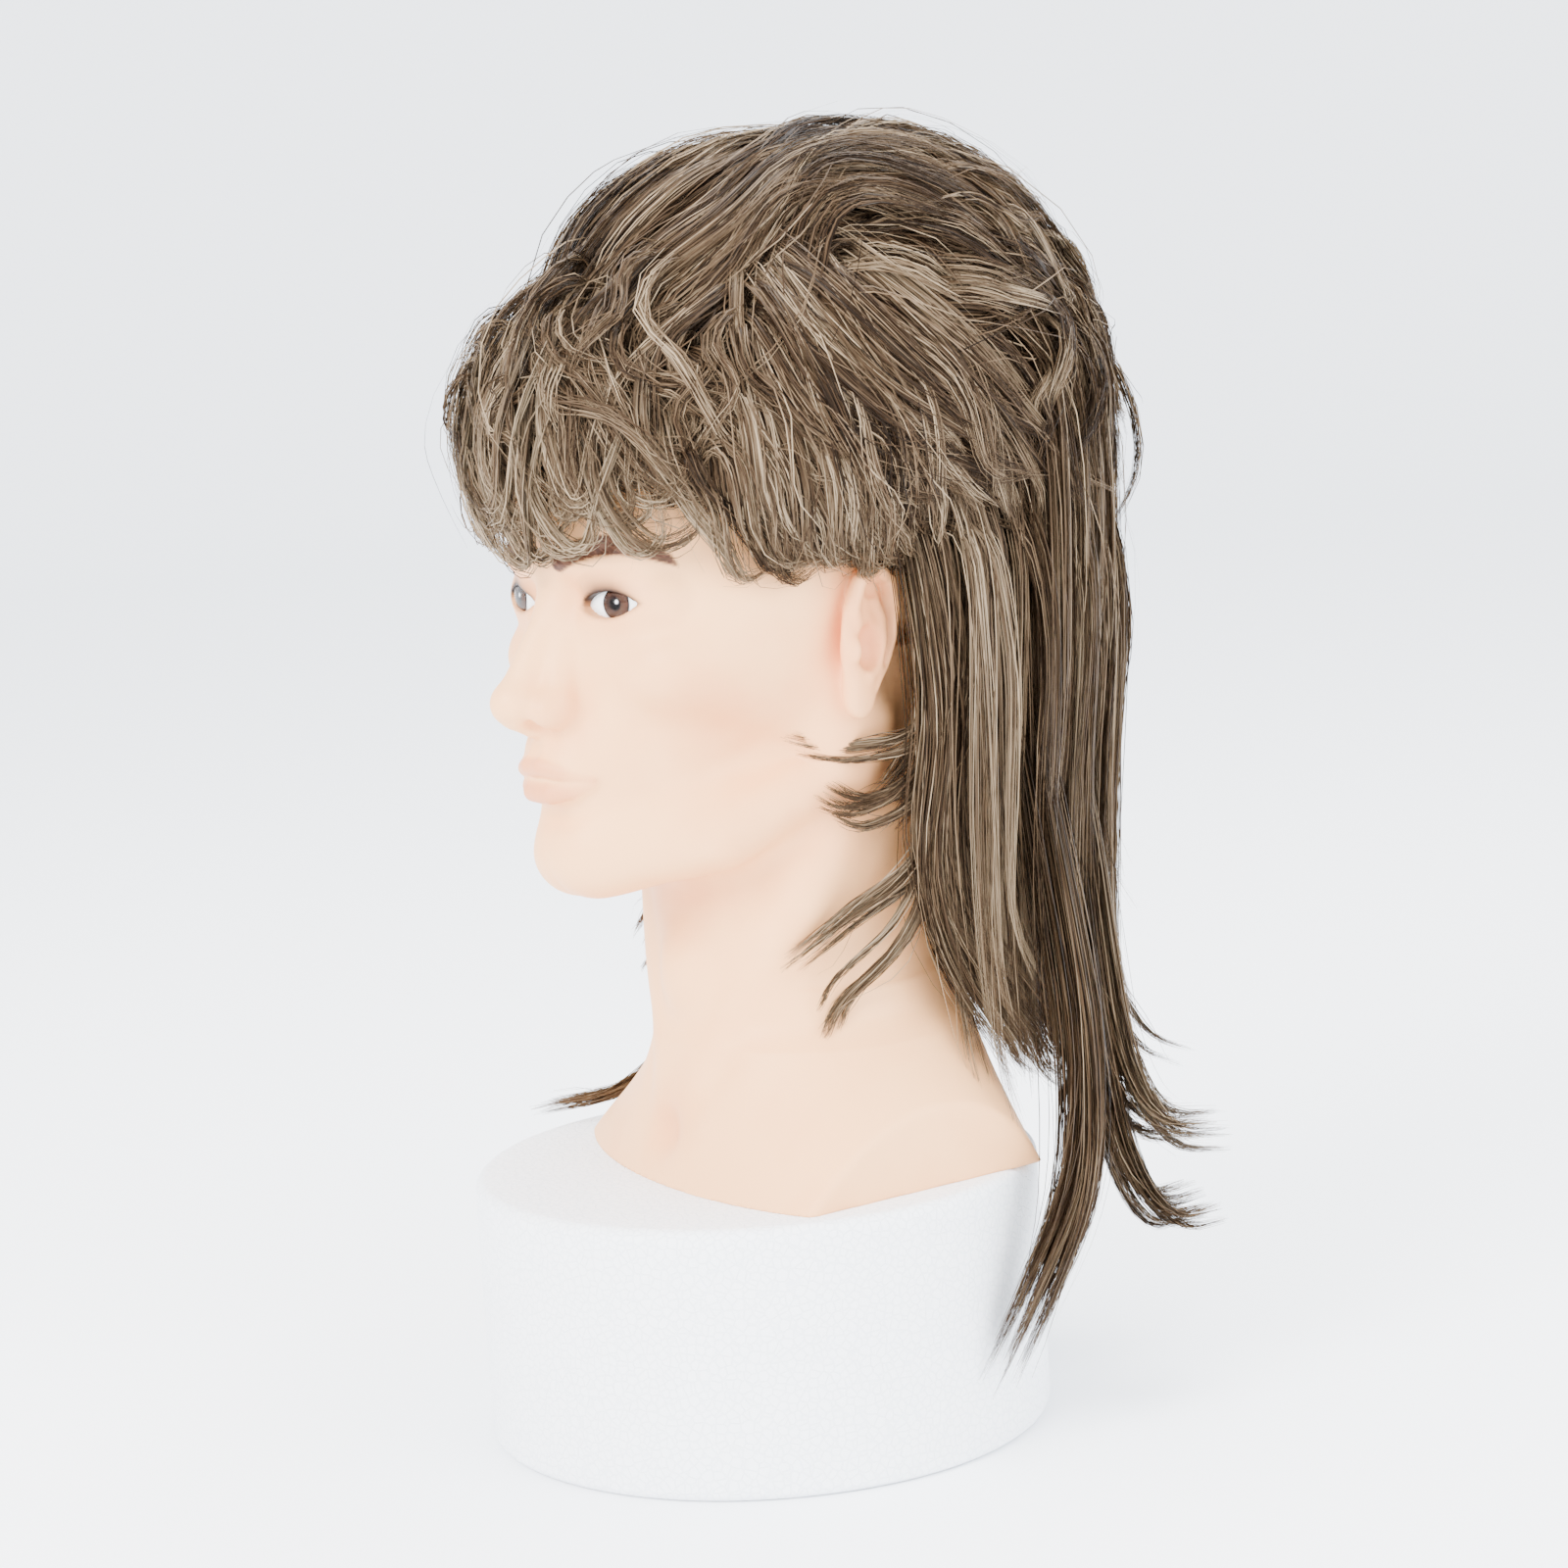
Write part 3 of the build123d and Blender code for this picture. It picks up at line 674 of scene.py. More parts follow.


# Warmer, darker skin: centre, spread and strength. On the cheek, ear and nose it is the skin's flush; round
# the eye, under the chin, below the jaw and at the throat it is painted shade.
WARMTH_AND_SHADE = [
    ((50, -40, 300), (26, 34, 26), 0.55),    # cheek
    (EAR_CENTRE, (14, 18, 32), 0.9),         # ear
    ((14, -86, 298), (8, 12, 10), 0.45),     # side of the nose
    ((26, -74, 340), (20, 16, 12), 0.5),     # round the eye
    ((0, -40, 222), (44, 40, 14), 0.6),      # under the chin
    ((60, -10, 250), (26, 40, 36), 0.4),     # below the jaw
    ((0, -36, 128), (18, 20, 16), 0.5),      # throat
]


def warmth_and_shade_mask(points):
    return np.clip(sum(stroke(points, *warmth_and_shade) for warmth_and_shade in WARMTH_AND_SHADE), 0.0, 1.0)


def skin_material():
    """Satin PVC in peach, with painted brows, lash lines and lips, painted shade over the upper lids, and
    warmth that is flush in places and painted shade in others.
    """
    nodes = Nodes("skin_pvc")
    place = nodes.place()
    mottle = nodes.range(nodes.noise(place, 0.03, 3.0), 0.3, 0.7, -0.12, 0.12)
    # Flush on the cheeks, ears and nose and painted shade round the eyes, under the chin and jaw and at the
    # throat, with a random mottle.
    warmth_and_shade_mix = nodes.maths("ADD", nodes.layer("warmth_and_shade"), mottle, clamp=True)
    colour = nodes.mix(warmth_and_shade_mix, (0.86, 0.450, 0.200), (0.72, 0.265, 0.105))
    colour = nodes.mix(nodes.maths("MULTIPLY", nodes.layer("lips"), 0.8), colour, (0.62, 0.20, 0.085))
    # Painted shade over the upper lid: the lid_shade layer darkens the skin.
    painted_lid_shade = nodes.maths("MULTIPLY", nodes.layer("lid_shade"), 0.93)
    colour = nodes.mix(painted_lid_shade, colour, (0.060, 0.028, 0.016))
    colour = nodes.mix(nodes.layer("lash"), colour, (0.010, 0.005, 0.004))
    hairs = nodes.noise(nodes.stretched(nodes.turned(place, -0.5), (1.0, 1.0, 5.0)), 0.0035)
    brow_colour = nodes.mix(nodes.range(hairs, 0.35, 0.65), (0.050, 0.017, 0.008), (0.105, 0.040, 0.020))
    colour = nodes.mix(nodes.layer("brow"), colour, brow_colour)
    nodes.set(Base_Color=colour, Roughness=0.45, Specular_IOR_Level=0.22)
    nodes.bump(nodes.noise(nodes.stretched(place, (1.0, 1.0, 2.2)), 0.0012), 0.00006)
    return nodes.material


def build_head():
    """The hollow PVC shell, sculpted in one piece."""
    step = 1.0
    axes = (grid_axis([(-102, 1.05 * step), (104, 1.05 * step)]),
            grid_axis([(-113, 1.05 * step), (112, 1.05 * step)]),
            grid_axis([(103.2, 1.5 * step), (216, 0.95 * step), (366, 1.5 * step), (449, 1.5 * step)]))
    vertices, faces = mesh_from(head_solid, axes, 15.0 * step)
    mesh = fast_mesh("head", vertices * MM, faces)
    folded = fold(vertices)
    lash, shade = lid_masks(folded)
    paint(mesh, "brow", brow_mask(folded))
    paint(mesh, "lash", lash)
    paint(mesh, "lid_shade", shade)
    paint(mesh, "lips", lip_mask(folded))
    # One layer holds the flush and the painted shade together.
    paint(mesh, "warmth_and_shade", warmth_and_shade_mask(folded))
    new_piece("head", mesh, "head", skin_material(), ("head_shell",))


# ------------------------------------------------------------ eyes

GAZE_LIFT = 0.6
GAZE_ACROSS = (-0.6, 1.6)
IRIS_RADIUS = 6.4


def eye_frame(side):
    """Rows: across, up and forward for one eye's ball."""
    yaw = math.radians(EYE_YAW * side)
    forward = np.array((math.sin(yaw), -math.cos(yaw), 0.0))
    return np.stack((np.array((math.cos(yaw), math.sin(yaw), 0.0)), np.array((0.0, 0.0, 1.0)), forward))


def on_ball(across, up, growth):
    """Forward distance of the eye's surface over a place given across and up."""
    bulge = 1 - (across / EYE_HALF[0]) ** 2 - (up / EYE_HALF[2]) ** 2
    return EYE_HALF[1] * np.sqrt(np.maximum(bulge, 0.0)) + growth


def ring_faces(rings, segments):
    """Quads between consecutive rings of vertices."""
    low = (np.arange(rings - 1) * segments)[:, None]
    high = low + segments
    step = np.arange(segments)[None]
    after = (step + 1) % segments
    return np.stack((low + step, low + after, high + after, high + step), axis=-1).reshape(-1, 4)


def disc_points(radii, segments):
    """Across and up for rings of the given radii."""
    angle = np.linspace(0, 2 * math.pi, segments, endpoint=False)
    across = radii[:, None] * np.cos(angle)[None]
    up = radii[:, None] * np.sin(angle)[None]
    return across.ravel(), up.ravel()


def eye_vertices(side, across, up, forward):
    """Scene places from places in one eye's own axes."""
    local = np.stack((across, up, forward), axis=1)
    return (local @ eye_frame(side) + np.array(EYE_CENTRE) * (side, 1.0, 1.0)) * MM


def eye_white_material():
    nodes = Nodes("eye_white")
    nodes.set(Base_Color=(0.80, 0.80, 0.80), Roughness=0.12, Coat_Weight=0.6)
    return nodes.material


def iris_material():
    """Painted rings: black pupil, streaked brown iris that is lighter below and darker above as painted
    light and shade, darker rim and one white dot, a painted highlight.
    """
    nodes = Nodes("iris")
    radius = nodes.layer("radius")
    colour = nodes.mix(nodes.range(radius, 0.42, 0.95), (0.016, 0.006, 0.003), (0.040, 0.015, 0.008))
    # The spokes layer holds the streaks together with the painted light and shade.
    colour = nodes.mix(nodes.maths("MULTIPLY", nodes.layer("streaks_and_painted_light"), 0.55), colour, (0.090, 0.042, 0.025))
    colour = nodes.mix(nodes.range(radius, 0.82, 0.97), colour, (0.008, 0.004, 0.003))
    colour = nodes.mix(nodes.range(radius, 0.36, 0.46), (0.002, 0.0015, 0.0015), colour)
    # The white dot is a painted highlight.
    colour = nodes.mix(nodes.layer("glint"), colour, (0.95, 0.95, 0.95))
    nodes.set(Base_Color=colour, Roughness=0.35, Specular_IOR_Level=0.1)
    return nodes.material


def cornea_material():
    nodes = Nodes("cornea")
    nodes.set(Base_Color=(1.0, 1.0, 1.0), Roughness=0.03, Transmission_Weight=1.0, IOR=1.08)
    return nodes.material


def build_ball(side, name, material):
    rings, segments = 40, 96
    across, up = disc_points(np.linspace(0.995, 0.002, rings), segments)
    across, up = across * EYE_HALF[0], up * EYE_HALF[2]
    vertices = eye_vertices(side, across, up, on_ball(across, up, 0.0))
    ball = fast_mesh(f"{name}_eye_ball", vertices, ring_faces(rings, segments))
    new_piece(f"{name}_eye_ball", ball, "head", material, (f"{name}_eye_white",))


def gaze_offset(side):
    """How far across and up the iris sits on its ball."""
    return GAZE_ACROSS[0 if side > 0 else 1], GAZE_LIFT


def build_iris(side, name, material):
    """A thin painted disc that lies on the ball, with its rim sunk almost onto it."""
    rings, segments = 44, 120
    across, up = disc_points(np.linspace(IRIS_RADIUS, 0.02, rings), segments)
    radius = np.hypot(across, up) / IRIS_RADIUS
    angle = np.arctan2(up, across)
    shift, lift = gaze_offset(side)
    forward = on_ball(across + shift, up + lift, 0.12 - 0.10 * radius ** 8)
    disc = fast_mesh(f"{name}_eye_disc", eye_vertices(side, across + shift, up + lift, forward),
                     ring_faces(rings, segments))
    streaks_and_painted_light = 0.5 + 0.3 * np.sin(23 * angle + 2 * np.sin(5 * angle)) * np.sin(41 * angle + 1.0)
    # The cosine term lightens the lower side of both irises and darkens the upper side: painted light and
    # shade.
    streaks_and_painted_light = np.clip(streaks_and_painted_light + 0.45 * np.cos(angle + 0.7), 0.0, 1.0) * (radius > 0.42)
    paint(disc, "radius", radius)
    paint(disc, "streaks_and_painted_light", streaks_and_painted_light)
    # The glint layer is a white dot: a painted highlight.
    paint(disc, "glint", np.clip(1.4 - np.hypot(across - 0.7, up - 0.9) / 0.8, 0.0, 1.0))
    new_piece(f"{name}_eye_disc", disc, "head", material, (f"{name}_eye_iris",))


def build_cornea(side, name, material):
    """A clear lens: its underside on the ball, its top domed."""
    rings, segments = 24, 72
    rim = IRIS_RADIUS + 0.5
    radii = np.linspace(rim, 0.02, rings)
    across, up = disc_points(np.concatenate((radii[::-1], radii)), segments)
    shift, lift = gaze_offset(side)
    upper = np.arange(len(across)) >= rings * segments
    dome = 0.5 * np.maximum(1 - (np.hypot(across, up) / rim) ** 2, 0.0) ** 1.5
    forward = on_ball(across + shift, up + lift, 0.16) + np.where(upper, dome, 0.0)
    lens = fast_mesh(f"{name}_eye_lens", eye_vertices(side, across + shift, up + lift, forward),
                     ring_faces(2 * rings, segments))
    new_piece(f"{name}_eye_lens", lens, "head", material, (f"{name}_eye_cornea",))


def build_eyes():
    white = eye_white_material()
    iris = iris_material()
    glass = cornea_material()
    for name, side in (("left", 1.0), ("right", -1.0)):
        build_ball(side, name, white)
        build_iris(side, name, iris)
        build_cornea(side, name, glass)


# ------------------------------------------------------------ foam block

BLOCK_RADIUS = 113.0
BLOCK_EDGE = 4.5


def foam_material():
    """Expanded beads: cells a few millimetres across, pressed flat by the hot wire."""
    nodes = Nodes("foam_beads")
    place = nodes.place()
    seams = nodes.range(nodes.cells(place, 290.0), 0.0, 0.12)
    warp = nodes.noise(place, 0.006)
    cut = nodes.noise(nodes.stretched(place, (1.0, 1.0, 26.0)), 0.03)
    height = nodes.maths("ADD", nodes.maths("MULTIPLY", seams, 0.5), nodes.maths("MULTIPLY", warp, 0.7))
    height = nodes.maths("ADD", height, nodes.maths("MULTIPLY", cut, 0.35))
    nodes.set(Base_Color=nodes.mix(seams, (0.80, 0.835, 0.88), (0.885, 0.91, 0.945)),
              Roughness=0.62, Specular_IOR_Level=0.35)
    nodes.bump(height, 0.0005, 0.7)
    return nodes.material


def build_foam():
    """The block with slightly uneven rims, as cut by a hot wire."""
    low, high = (np.array(corner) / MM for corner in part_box("foam_block"))
    height = high[2] - low[2]
    segments = 360
    arc = np.radians(np.linspace(-90, 0, 9))
    edge = BLOCK_EDGE
    bottom = [(BLOCK_RADIUS - edge + edge * math.cos(a), edge + edge * math.sin(a)) for a in arc]
    top = [(r, height - z) for r, z in reversed(bottom)]
    walls = [(BLOCK_RADIUS, z) for z in np.linspace(edge, height - edge, 26)[1:-1]]
    flat = [(r, 0.0) for r in np.linspace(0.02, BLOCK_RADIUS - edge, 20)[:-1]]
    lid = [(r, height) for r in np.linspace(BLOCK_RADIUS - edge, 0.02, 40)[1:]]
    profile = np.array(flat + bottom + walls + top + lid)
    across, along = disc_points(profile[:, 0], segments)
    level = np.repeat(profile[:, 1], segments)
    angle = np.arctan2(along, across)
    wobble = 0.16 * np.sin(3 * angle + 0.05 * level) + 0.12 * np.sin(7 * angle + 1.7)
    wobble += 0.10 * np.sin(0.9 * level + 2 * np.sin(angle)) - 0.30
    outer = across ** 2 + along ** 2 > (BLOCK_RADIUS - edge) ** 2
    growth = 1 + np.where(outer, wobble, 0.0) / BLOCK_RADIUS
    vertices = np.stack((across * growth, along * growth, level), axis=1)
    mesh = fast_mesh("foam", vertices * MM, ring_faces(len(profile), segments))
    new_piece("foam", mesh, "stand", foam_material(), ("foam_block",))


# ------------------------------------------------------------ small parts

WAVE_PERIOD = 0.31      # of the wave texture at scale 1


def plain_material(name, colour, roughness, grain=0.0, metallic=0.0):
    """One flat colour; the optional grain is a bump."""
    nodes = Nodes(name)
    nodes.set(Base_Color=colour, Roughness=roughness, Metallic=metallic)
    if grain:
        nodes.bump(nodes.noise(nodes.place(), 0.001), grain)
    return nodes.material


def net_material():
    """Stretch net: a fine open lattice in dark brown."""
    nodes = Nodes("cap_net")
    thread = nodes.range(nodes.cells(nodes.place(), 420.0), 0.10, 0.03)
    nodes.set(Base_Color=nodes.mix(thread, (0.030, 0.020, 0.016), (0.085, 0.058, 0.042)), Roughness=0.8)
    nodes.bump(thread, 0.0003)
    return nodes.material


def woven_material(name, dark, light, pitch):
    """A narrow woven tape: ribs across it."""
    nodes = Nodes(name)
    ribs = nodes.add("ShaderNodeTexWave", {"bands_direction": "DIAGONAL"}, Vector=nodes.place(),
                     Scale=WAVE_PERIOD / pitch, Distortion=0.6).outputs["Fac"]
    nodes.set(Base_Color=nodes.mix(ribs, dark, light), Roughness=0.75)
    nodes.bump(ribs, 0.0002)
    return nodes.material


def dress_small_parts(nodes):
    """Materials for the CAD pieces that are shown as they are."""
    tape = woven_material("cap_tape", (0.035, 0.024, 0.018), (0.075, 0.052, 0.038), 0.0012)
    elastic = woven_material("elastic", (0.020, 0.016, 0.014), (0.060, 0.048, 0.040), 0.0008)
    steel = plain_material("stay_steel", (0.62, 0.62, 0.60), 0.35, metallic=1.0)
    hook = plain_material("hook_nylon", (0.030, 0.022, 0.018), 0.4, 0.00005)
    socket = plain_material("socket_plastic", (0.055, 0.055, 0.060), 0.45, 0.00005)
    plate = plain_material("base_plastic", (0.62, 0.42, 0.31), 0.55, 0.0001)
    net = net_material()
    dress = {
        "cap_net": net, "front_band": tape, "cap_ribbons": tape,
        "nape_band": elastic, "nape_loops": elastic,
        "base_plate": plate, "clamp_socket": socket,
    }
    for side in ("left", "right"):
        dress[f"{side}_ear_tab"] = tape
        dress[f"{side}_ear_stay"] = steel
        dress[f"{side}_adjuster_strap"] = elastic
        dress[f"{side}_adjuster_hook"] = hook
    for name, material in dress.items():
        slots = nodes[name].data.materials
        slots.clear()
        slots.append(material)


# ------------------------------------------------------------ hair: guide curves

# Hair is laid out between the scalp and an outer envelope, in millimetres. A place in it
# has a depth: 0 on the scalp, 1 on the envelope.
ENVELOPE_CENTRE = np.array((0.0, 36.0, 400.0))
ENVELOPE_HALF = np.array((107.0, 142.0, 114.0))
SCALP_HALF = np.array((74.5, 94.5, 86.5))
STATIONS = 15
STRAND_WIDTH = 0.55


def between(direction, depth):
    """The envelope is flatter over the forehead, fuller at the crown and upright behind."""
    scalp = np.array(SKULL_CENTRE) + direction * SCALP_HALF
    up = np.maximum(direction[..., 2], 0.0)
    front = np.maximum(-direction[..., 1], 0.0) * up
    rear = np.maximum(direction[..., 1], 0.0) * up
    low_rear = np.maximum(direction[..., 1], 0.0) * np.maximum(-direction[..., 2], 0.0)
    fullness = 1.0 - 0.12 * front + 0.07 * rear + 0.42 * low_rear
    outer = ENVELOPE_CENTRE + direction * ENVELOPE_HALF * fullness[..., None]
    return scalp + (outer - scalp) * np.asarray(depth)[..., None]


def over_top(theta, psi, depth):
    """theta runs from the brow (0) over the top (90) to the back (180); psi leans left."""
    theta, psi = np.radians(theta), np.radians(psi)
    direction = np.stack((np.sin(psi), -np.cos(psi) * np.cos(theta), np.cos(psi) * np.sin(theta)), -1)
    return between(direction, depth)


def around(azimuth, elevation, depth):
    """azimuth runs from the face (0) past the left ear (90) to the back (180)."""
    azimuth, elevation = np.radians(azimuth), np.radians(elevation)
    level = np.cos(elevation)
    direction = np.stack((np.sin(azimuth) * level, -np.cos(azimuth) * level, np.sin(elevation)), -1)
    return between(direction, depth)


def hang(azimuth, share, height, push=0.0):
    """A place on the long curtain behind the neck; share is its layer, from 0 to 1."""
    azimuth = np.radians(azimuth)
    half_x = 80.0 + 25.0 * share + push
    half_y = 90.0 + 67.0 * share + push
    level = np.broadcast_to(height, azimuth.shape)
    return np.stack((half_x * np.sin(azimuth), 30.0 - half_y * np.cos(azimuth), level), -1)


def through(place, stations):
    """Control points of many locks at once: one call of a place function for each station."""
    return [place(*station) for station in stations]


def spline(points, count):
    """Catmull-Rom curves through (locks, stations, 3) control points."""
    first = 2 * points[:, :1] - points[:, 1:2]
    last = 2 * points[:, -1:] - points[:, -2:-1]
    padded = np.concatenate((first, points, last), axis=1)
    where = np.linspace(0, points.shape[1] - 1 - 1e-6, count)
    index = where.astype(int)
    t = (where - index)[None, :, None]
    a, b, c, d = (padded[:, index + k] for k in range(4))
    return 0.5 * (2 * b + (c - a) * t + (2 * a - 5 * b + 4 * c - d) * t ** 2
                  + (3 * b - a - 3 * c + d) * t ** 3)


def unit(vectors):
    return vectors / np.maximum(np.linalg.norm(vectors, axis=-1, keepdims=True), 1e-9)


def outward(points):
    away = points - np.array((0.0, 28.0, 395.0))
    away[..., 2] = np.maximum(away[..., 2], 0.0) * 0.9 + 0.12 * np.minimum(away[..., 2], 0.0)
    return unit(away)


def frames(points):
    """Tangent, side and lift directions, carried along each curve without twisting."""
    tangent = unit(np.gradient(points, axis=-2))
    start = int(points.shape[-2] * 0.6)
    side = np.empty_like(points)
    side[..., start, :] = unit(np.cross(tangent[..., start, :], outward(points[..., start, :])))
    for step, end in ((1, points.shape[-2]), (-1, -1)):
        for index in range(start + step, end, step):
            before = side[..., index - step, :]
            now = tangent[..., index, :]
            side[..., index, :] = unit(before - now * np.sum(before * now, axis=-1, keepdims=True))
    return tangent, side, np.cross(side, tangent)


SUB_CLUMPS = 5
STRAY_SHARE = 0.06
STRAY_SPREAD = 2.6


class Locks:
    """A family of locks: guide curves with their widths, waves and tones, where a tone may be lowered as
    painted shade for locks lying deep.
    """

    def __init__(self, seed):
        self.random = np.random.default_rng(seed)
        self.guides = []
        self.looks = []

    def spread(self, low, high, count):
        return self.random.uniform(low, high, count)

    def grow(self, path, width, thickness, wave=4.0, wavelength=0.55, phase=0.0, tone_and_shade=0.5, loose=1.0):
        """Add locks along a path: a list of stations, each with a point for every lock."""
        points = spline(np.stack(path, axis=1), STATIONS)
        count = len(points)
        t = np.linspace(0, 1, STATIONS)[None, :, None]
        _, side, lift = frames(points)
        length, offset = (np.broadcast_to(v, count)[:, None, None] for v in (wavelength, phase))
        turn = 2 * math.pi * (t / length + offset)
        strength = wave * np.sin(math.pi * np.minimum(t * 0.9 + 0.05, 0.8))
        points = points + side * strength * np.sin(turn) + lift * 0.35 * strength * np.cos(turn)
        self.guides.append(points)
        look = np.stack([np.broadcast_to(v, count) for v in (width, thickness, tone_and_shade, loose)], axis=1)
        self.looks.append(look)

    def strands(self, per_lock):
        """Every strand of every lock: (strands, stations, 3), its side direction and its tone."""
        guides = np.concatenate(self.guides)
        width, thickness, tone_and_shade, loose = np.concatenate(self.looks).T
        count = len(guides)
        _, side, lift = frames(guides)
        t = np.linspace(0, 1, STATIONS)
        shape = (0.45 + 0.9 * np.sin(math.pi * np.minimum(t * 0.8 + 0.1, 1.0))) * (1 - 0.78 * t ** 2.2)
        radius = np.sqrt(self.random.random((count, per_lock)))
        angle = self.random.random((count, per_lock)) * 2 * math.pi
        middles = self.random.uniform(-0.75, 0.75, (count, SUB_CLUMPS, 2))
        clump = self.random.integers(0, SUB_CLUMPS, (count, per_lock))
        chosen = middles[np.arange(count)[:, None], clump]
        across = chosen[..., 0] + 0.38 * radius * np.cos(angle)
        above = chosen[..., 1] + 0.38 * radius * np.sin(angle)
        stray = self.random.random((count, per_lock)) < STRAY_SHARE
        stray = np.where(stray, STRAY_SPREAD, 1.0) * loose[:, None]
        spread_side = (across * width[:, None] * stray)[:, :, None] * shape
        spread_lift = (above * thickness[:, None] * stray)[:, :, None] * shape
        wander = self.random.normal(0, 1, (count, per_lock, 2)) * (0.6 + 0.9 * (stray - 1))[:, :, None]
        pitch = self.random.uniform(0.8, 2.6, (count, per_lock))[:, :, None] * 2 * math.pi
        start = self.random.random((count, per_lock))[:, :, None] * 2 * math.pi
        ripple = np.sin(pitch * t + start) * t ** 0.7 * 1.6
        drift = np.cos(pitch * t * 0.6 + start) * t ** 0.7 * 1.6
        cut = self.random.uniform(0.80, 1.0, (count, per_lock))
        points = guides[:, None] + side[:, None] * (spread_side + ripple * wander[..., :1])[..., None]
        points = points + lift[:, None] * (spread_lift + drift * wander[..., 1:])[..., None]
        points = self.shorten(points.reshape(count * per_lock, STATIONS, 3), cut.ravel())
        twist = self.random.normal(0, 0.55, count * per_lock)
        tones_and_shade = np.repeat(tone_and_shade, per_lock) + self.random.normal(0, 0.20, count * per_lock)
        return points, twist, np.clip(tones_and_shade, 0.0, 1.0)

    @staticmethod
    def shorten(points, cut):
        """Resample each strand so that it ends at its own share of the lock's length."""
        where = cut[:, None] * np.linspace(0, STATIONS - 1, STATIONS)[None]
        index = np.minimum(where.astype(int), STATIONS - 2)
        share = (where - index)[..., None]
        rows = np.arange(len(points))[:, None]
        return points[rows, index] * (1 - share) + points[rows, index + 1] * share


def ribbon_mesh(name, points, twist, tones_and_shade):
    """Flat ribbons along strands, with a UV of (tone, place along the strand); the tone holds the painted
    shade of deep locks.
    """
    count = len(points)
    _, side, lift = frames(points)
    turn = twist[:, None, None]
    across = side * np.cos(turn) + lift * np.sin(turn)
    t = np.linspace(0, 1, STATIONS)
    half = 0.5 * STRAND_WIDTH * (0.75 + 0.25 * np.sin(math.pi * t)) * (1 - 0.8 * t ** 3)
    left = points - across * half[None, :, None]
    right = points + across * half[None, :, None]
    vertices = np.stack((left, right), axis=2).reshape(-1, 3) * MM
    start = ((np.arange(count) * STATIONS * 2)[:, None] + (np.arange(STATIONS - 1) * 2)[None]).ravel()
    faces = np.stack((start, start + 1, start + 3, start + 2), axis=1)
    mesh = fast_mesh(name, vertices, faces)
    u = np.repeat(tones_and_shade, (STATIONS - 1) * 4)
    low = np.tile(t[:-1], count)
    high = np.tile(t[1:], count)
    v = np.stack((low, low, high, high), axis=1).ravel()
    uv = np.stack((u, v), axis=1) * 0.98 + 0.01
    mesh.uv_layers.new(name="OFBake").data.foreach_set("uv", uv.astype(np.float32).ravel())
    return mesh


# ------------------------------------------------------------ hair: the cut

def fringe_locks():
    """A light, frizzy fringe that curls over the forehead and leaves skin showing through."""
    locks = Locks(11)
    n = 170
    psi = locks.spread(-56, 60, n)
    root = locks.spread(24, 62, n)
    end = locks.spread(-14, 10, n)
    sweep = locks.spread(-10, 30, n)
    deep = locks.spread(0.35, 1.0, n)
    tuck = locks.spread(0.30, 0.66, n)
    path = through(over_top, [
        (root, psi * 0.8, 0.06 * deep),
        (root - 4, psi * 0.85 - 0.2 * sweep, 0.8 * deep),
        (root * 0.55 + end * 0.45, psi * 0.95, deep),
        (end + 12, psi + sweep * 0.7, 0.92 * deep),
        (end, psi + sweep * 1.4, tuck * (0.55 + 0.45 * deep))])
    locks.grow(path, locks.spread(1.4, 3.6, n), locks.spread(0.8, 2.2, n), wave=6.0,
               wavelength=locks.spread(0.3, 0.6, n), phase=locks.spread(0, 1, n),
               tone_and_shade=locks.spread(0.3, 0.8, n), loose=1.7)
    curls = 44
    psi = locks.spread(-58, 64, curls)
    level = locks.spread(-17, -3, curls)
    turn = locks.spread(7, 15, curls) * np.where(locks.random.random(curls) < 0.35, -1, 1)
    deep = locks.spread(0.85, 1.15, curls)
    path = through(over_top, [
        (level + 30, psi, 0.80 * deep),
        (level + 13, psi + 0.3 * turn, 0.74 * deep),
        (level + 1, psi + 0.9 * turn, 0.55 * deep),
        (level + 2, psi + 1.6 * turn, 0.60 * deep),
        (level + 9, psi + 1.5 * turn, 0.80 * deep)])
    locks.grow(path, locks.spread(0.8, 2.0, curls), locks.spread(0.5, 1.2, curls), wave=1.0,
               phase=locks.spread(0, 1, curls), tone_and_shade=locks.spread(0.45, 0.95, curls), loose=1.6)
    return locks


def top_locks():
    """Layers swept back over the top in large S-waves, with lift at the roots."""
    locks = Locks(21)
    n = 230
    psi = locks.spread(-50, 50, n)
    root = locks.spread(36, 96, n)
    length = locks.spread(58, 100, n)
    deep = 0.42 + 0.62 * locks.random.random(n) ** 0.6
    drift = locks.spread(-9, 12, n)
    flip = locks.spread(-0.12, 0.10, n)
    path = through(over_top, [
        (root, psi, 0.04 * deep),
        (root + 0.10 * length, psi, 0.62 * deep),
        (root + 0.38 * length, psi + 0.4 * drift, 0.97 * deep),
        (root + 0.72 * length, psi + 0.9 * drift, deep),
        (root + length, psi + 1.2 * drift, deep + flip)])
    # Locks that lie deep, near the scalp, get a lower tone: painted shade between the layers.
    locks.grow(path, locks.spread(5.0, 11.0, n), locks.spread(2.0, 4.2, n), wave=12.0,
               wavelength=5.4 / length ** 0.5,
               phase=root / 90.0 + psi / 110.0 + locks.spread(-0.10, 0.10, n),
               tone_and_shade=locks.spread(0.08, 0.84, n) * np.minimum(0.35 + 0.7 * deep, 1.0))
    return locks


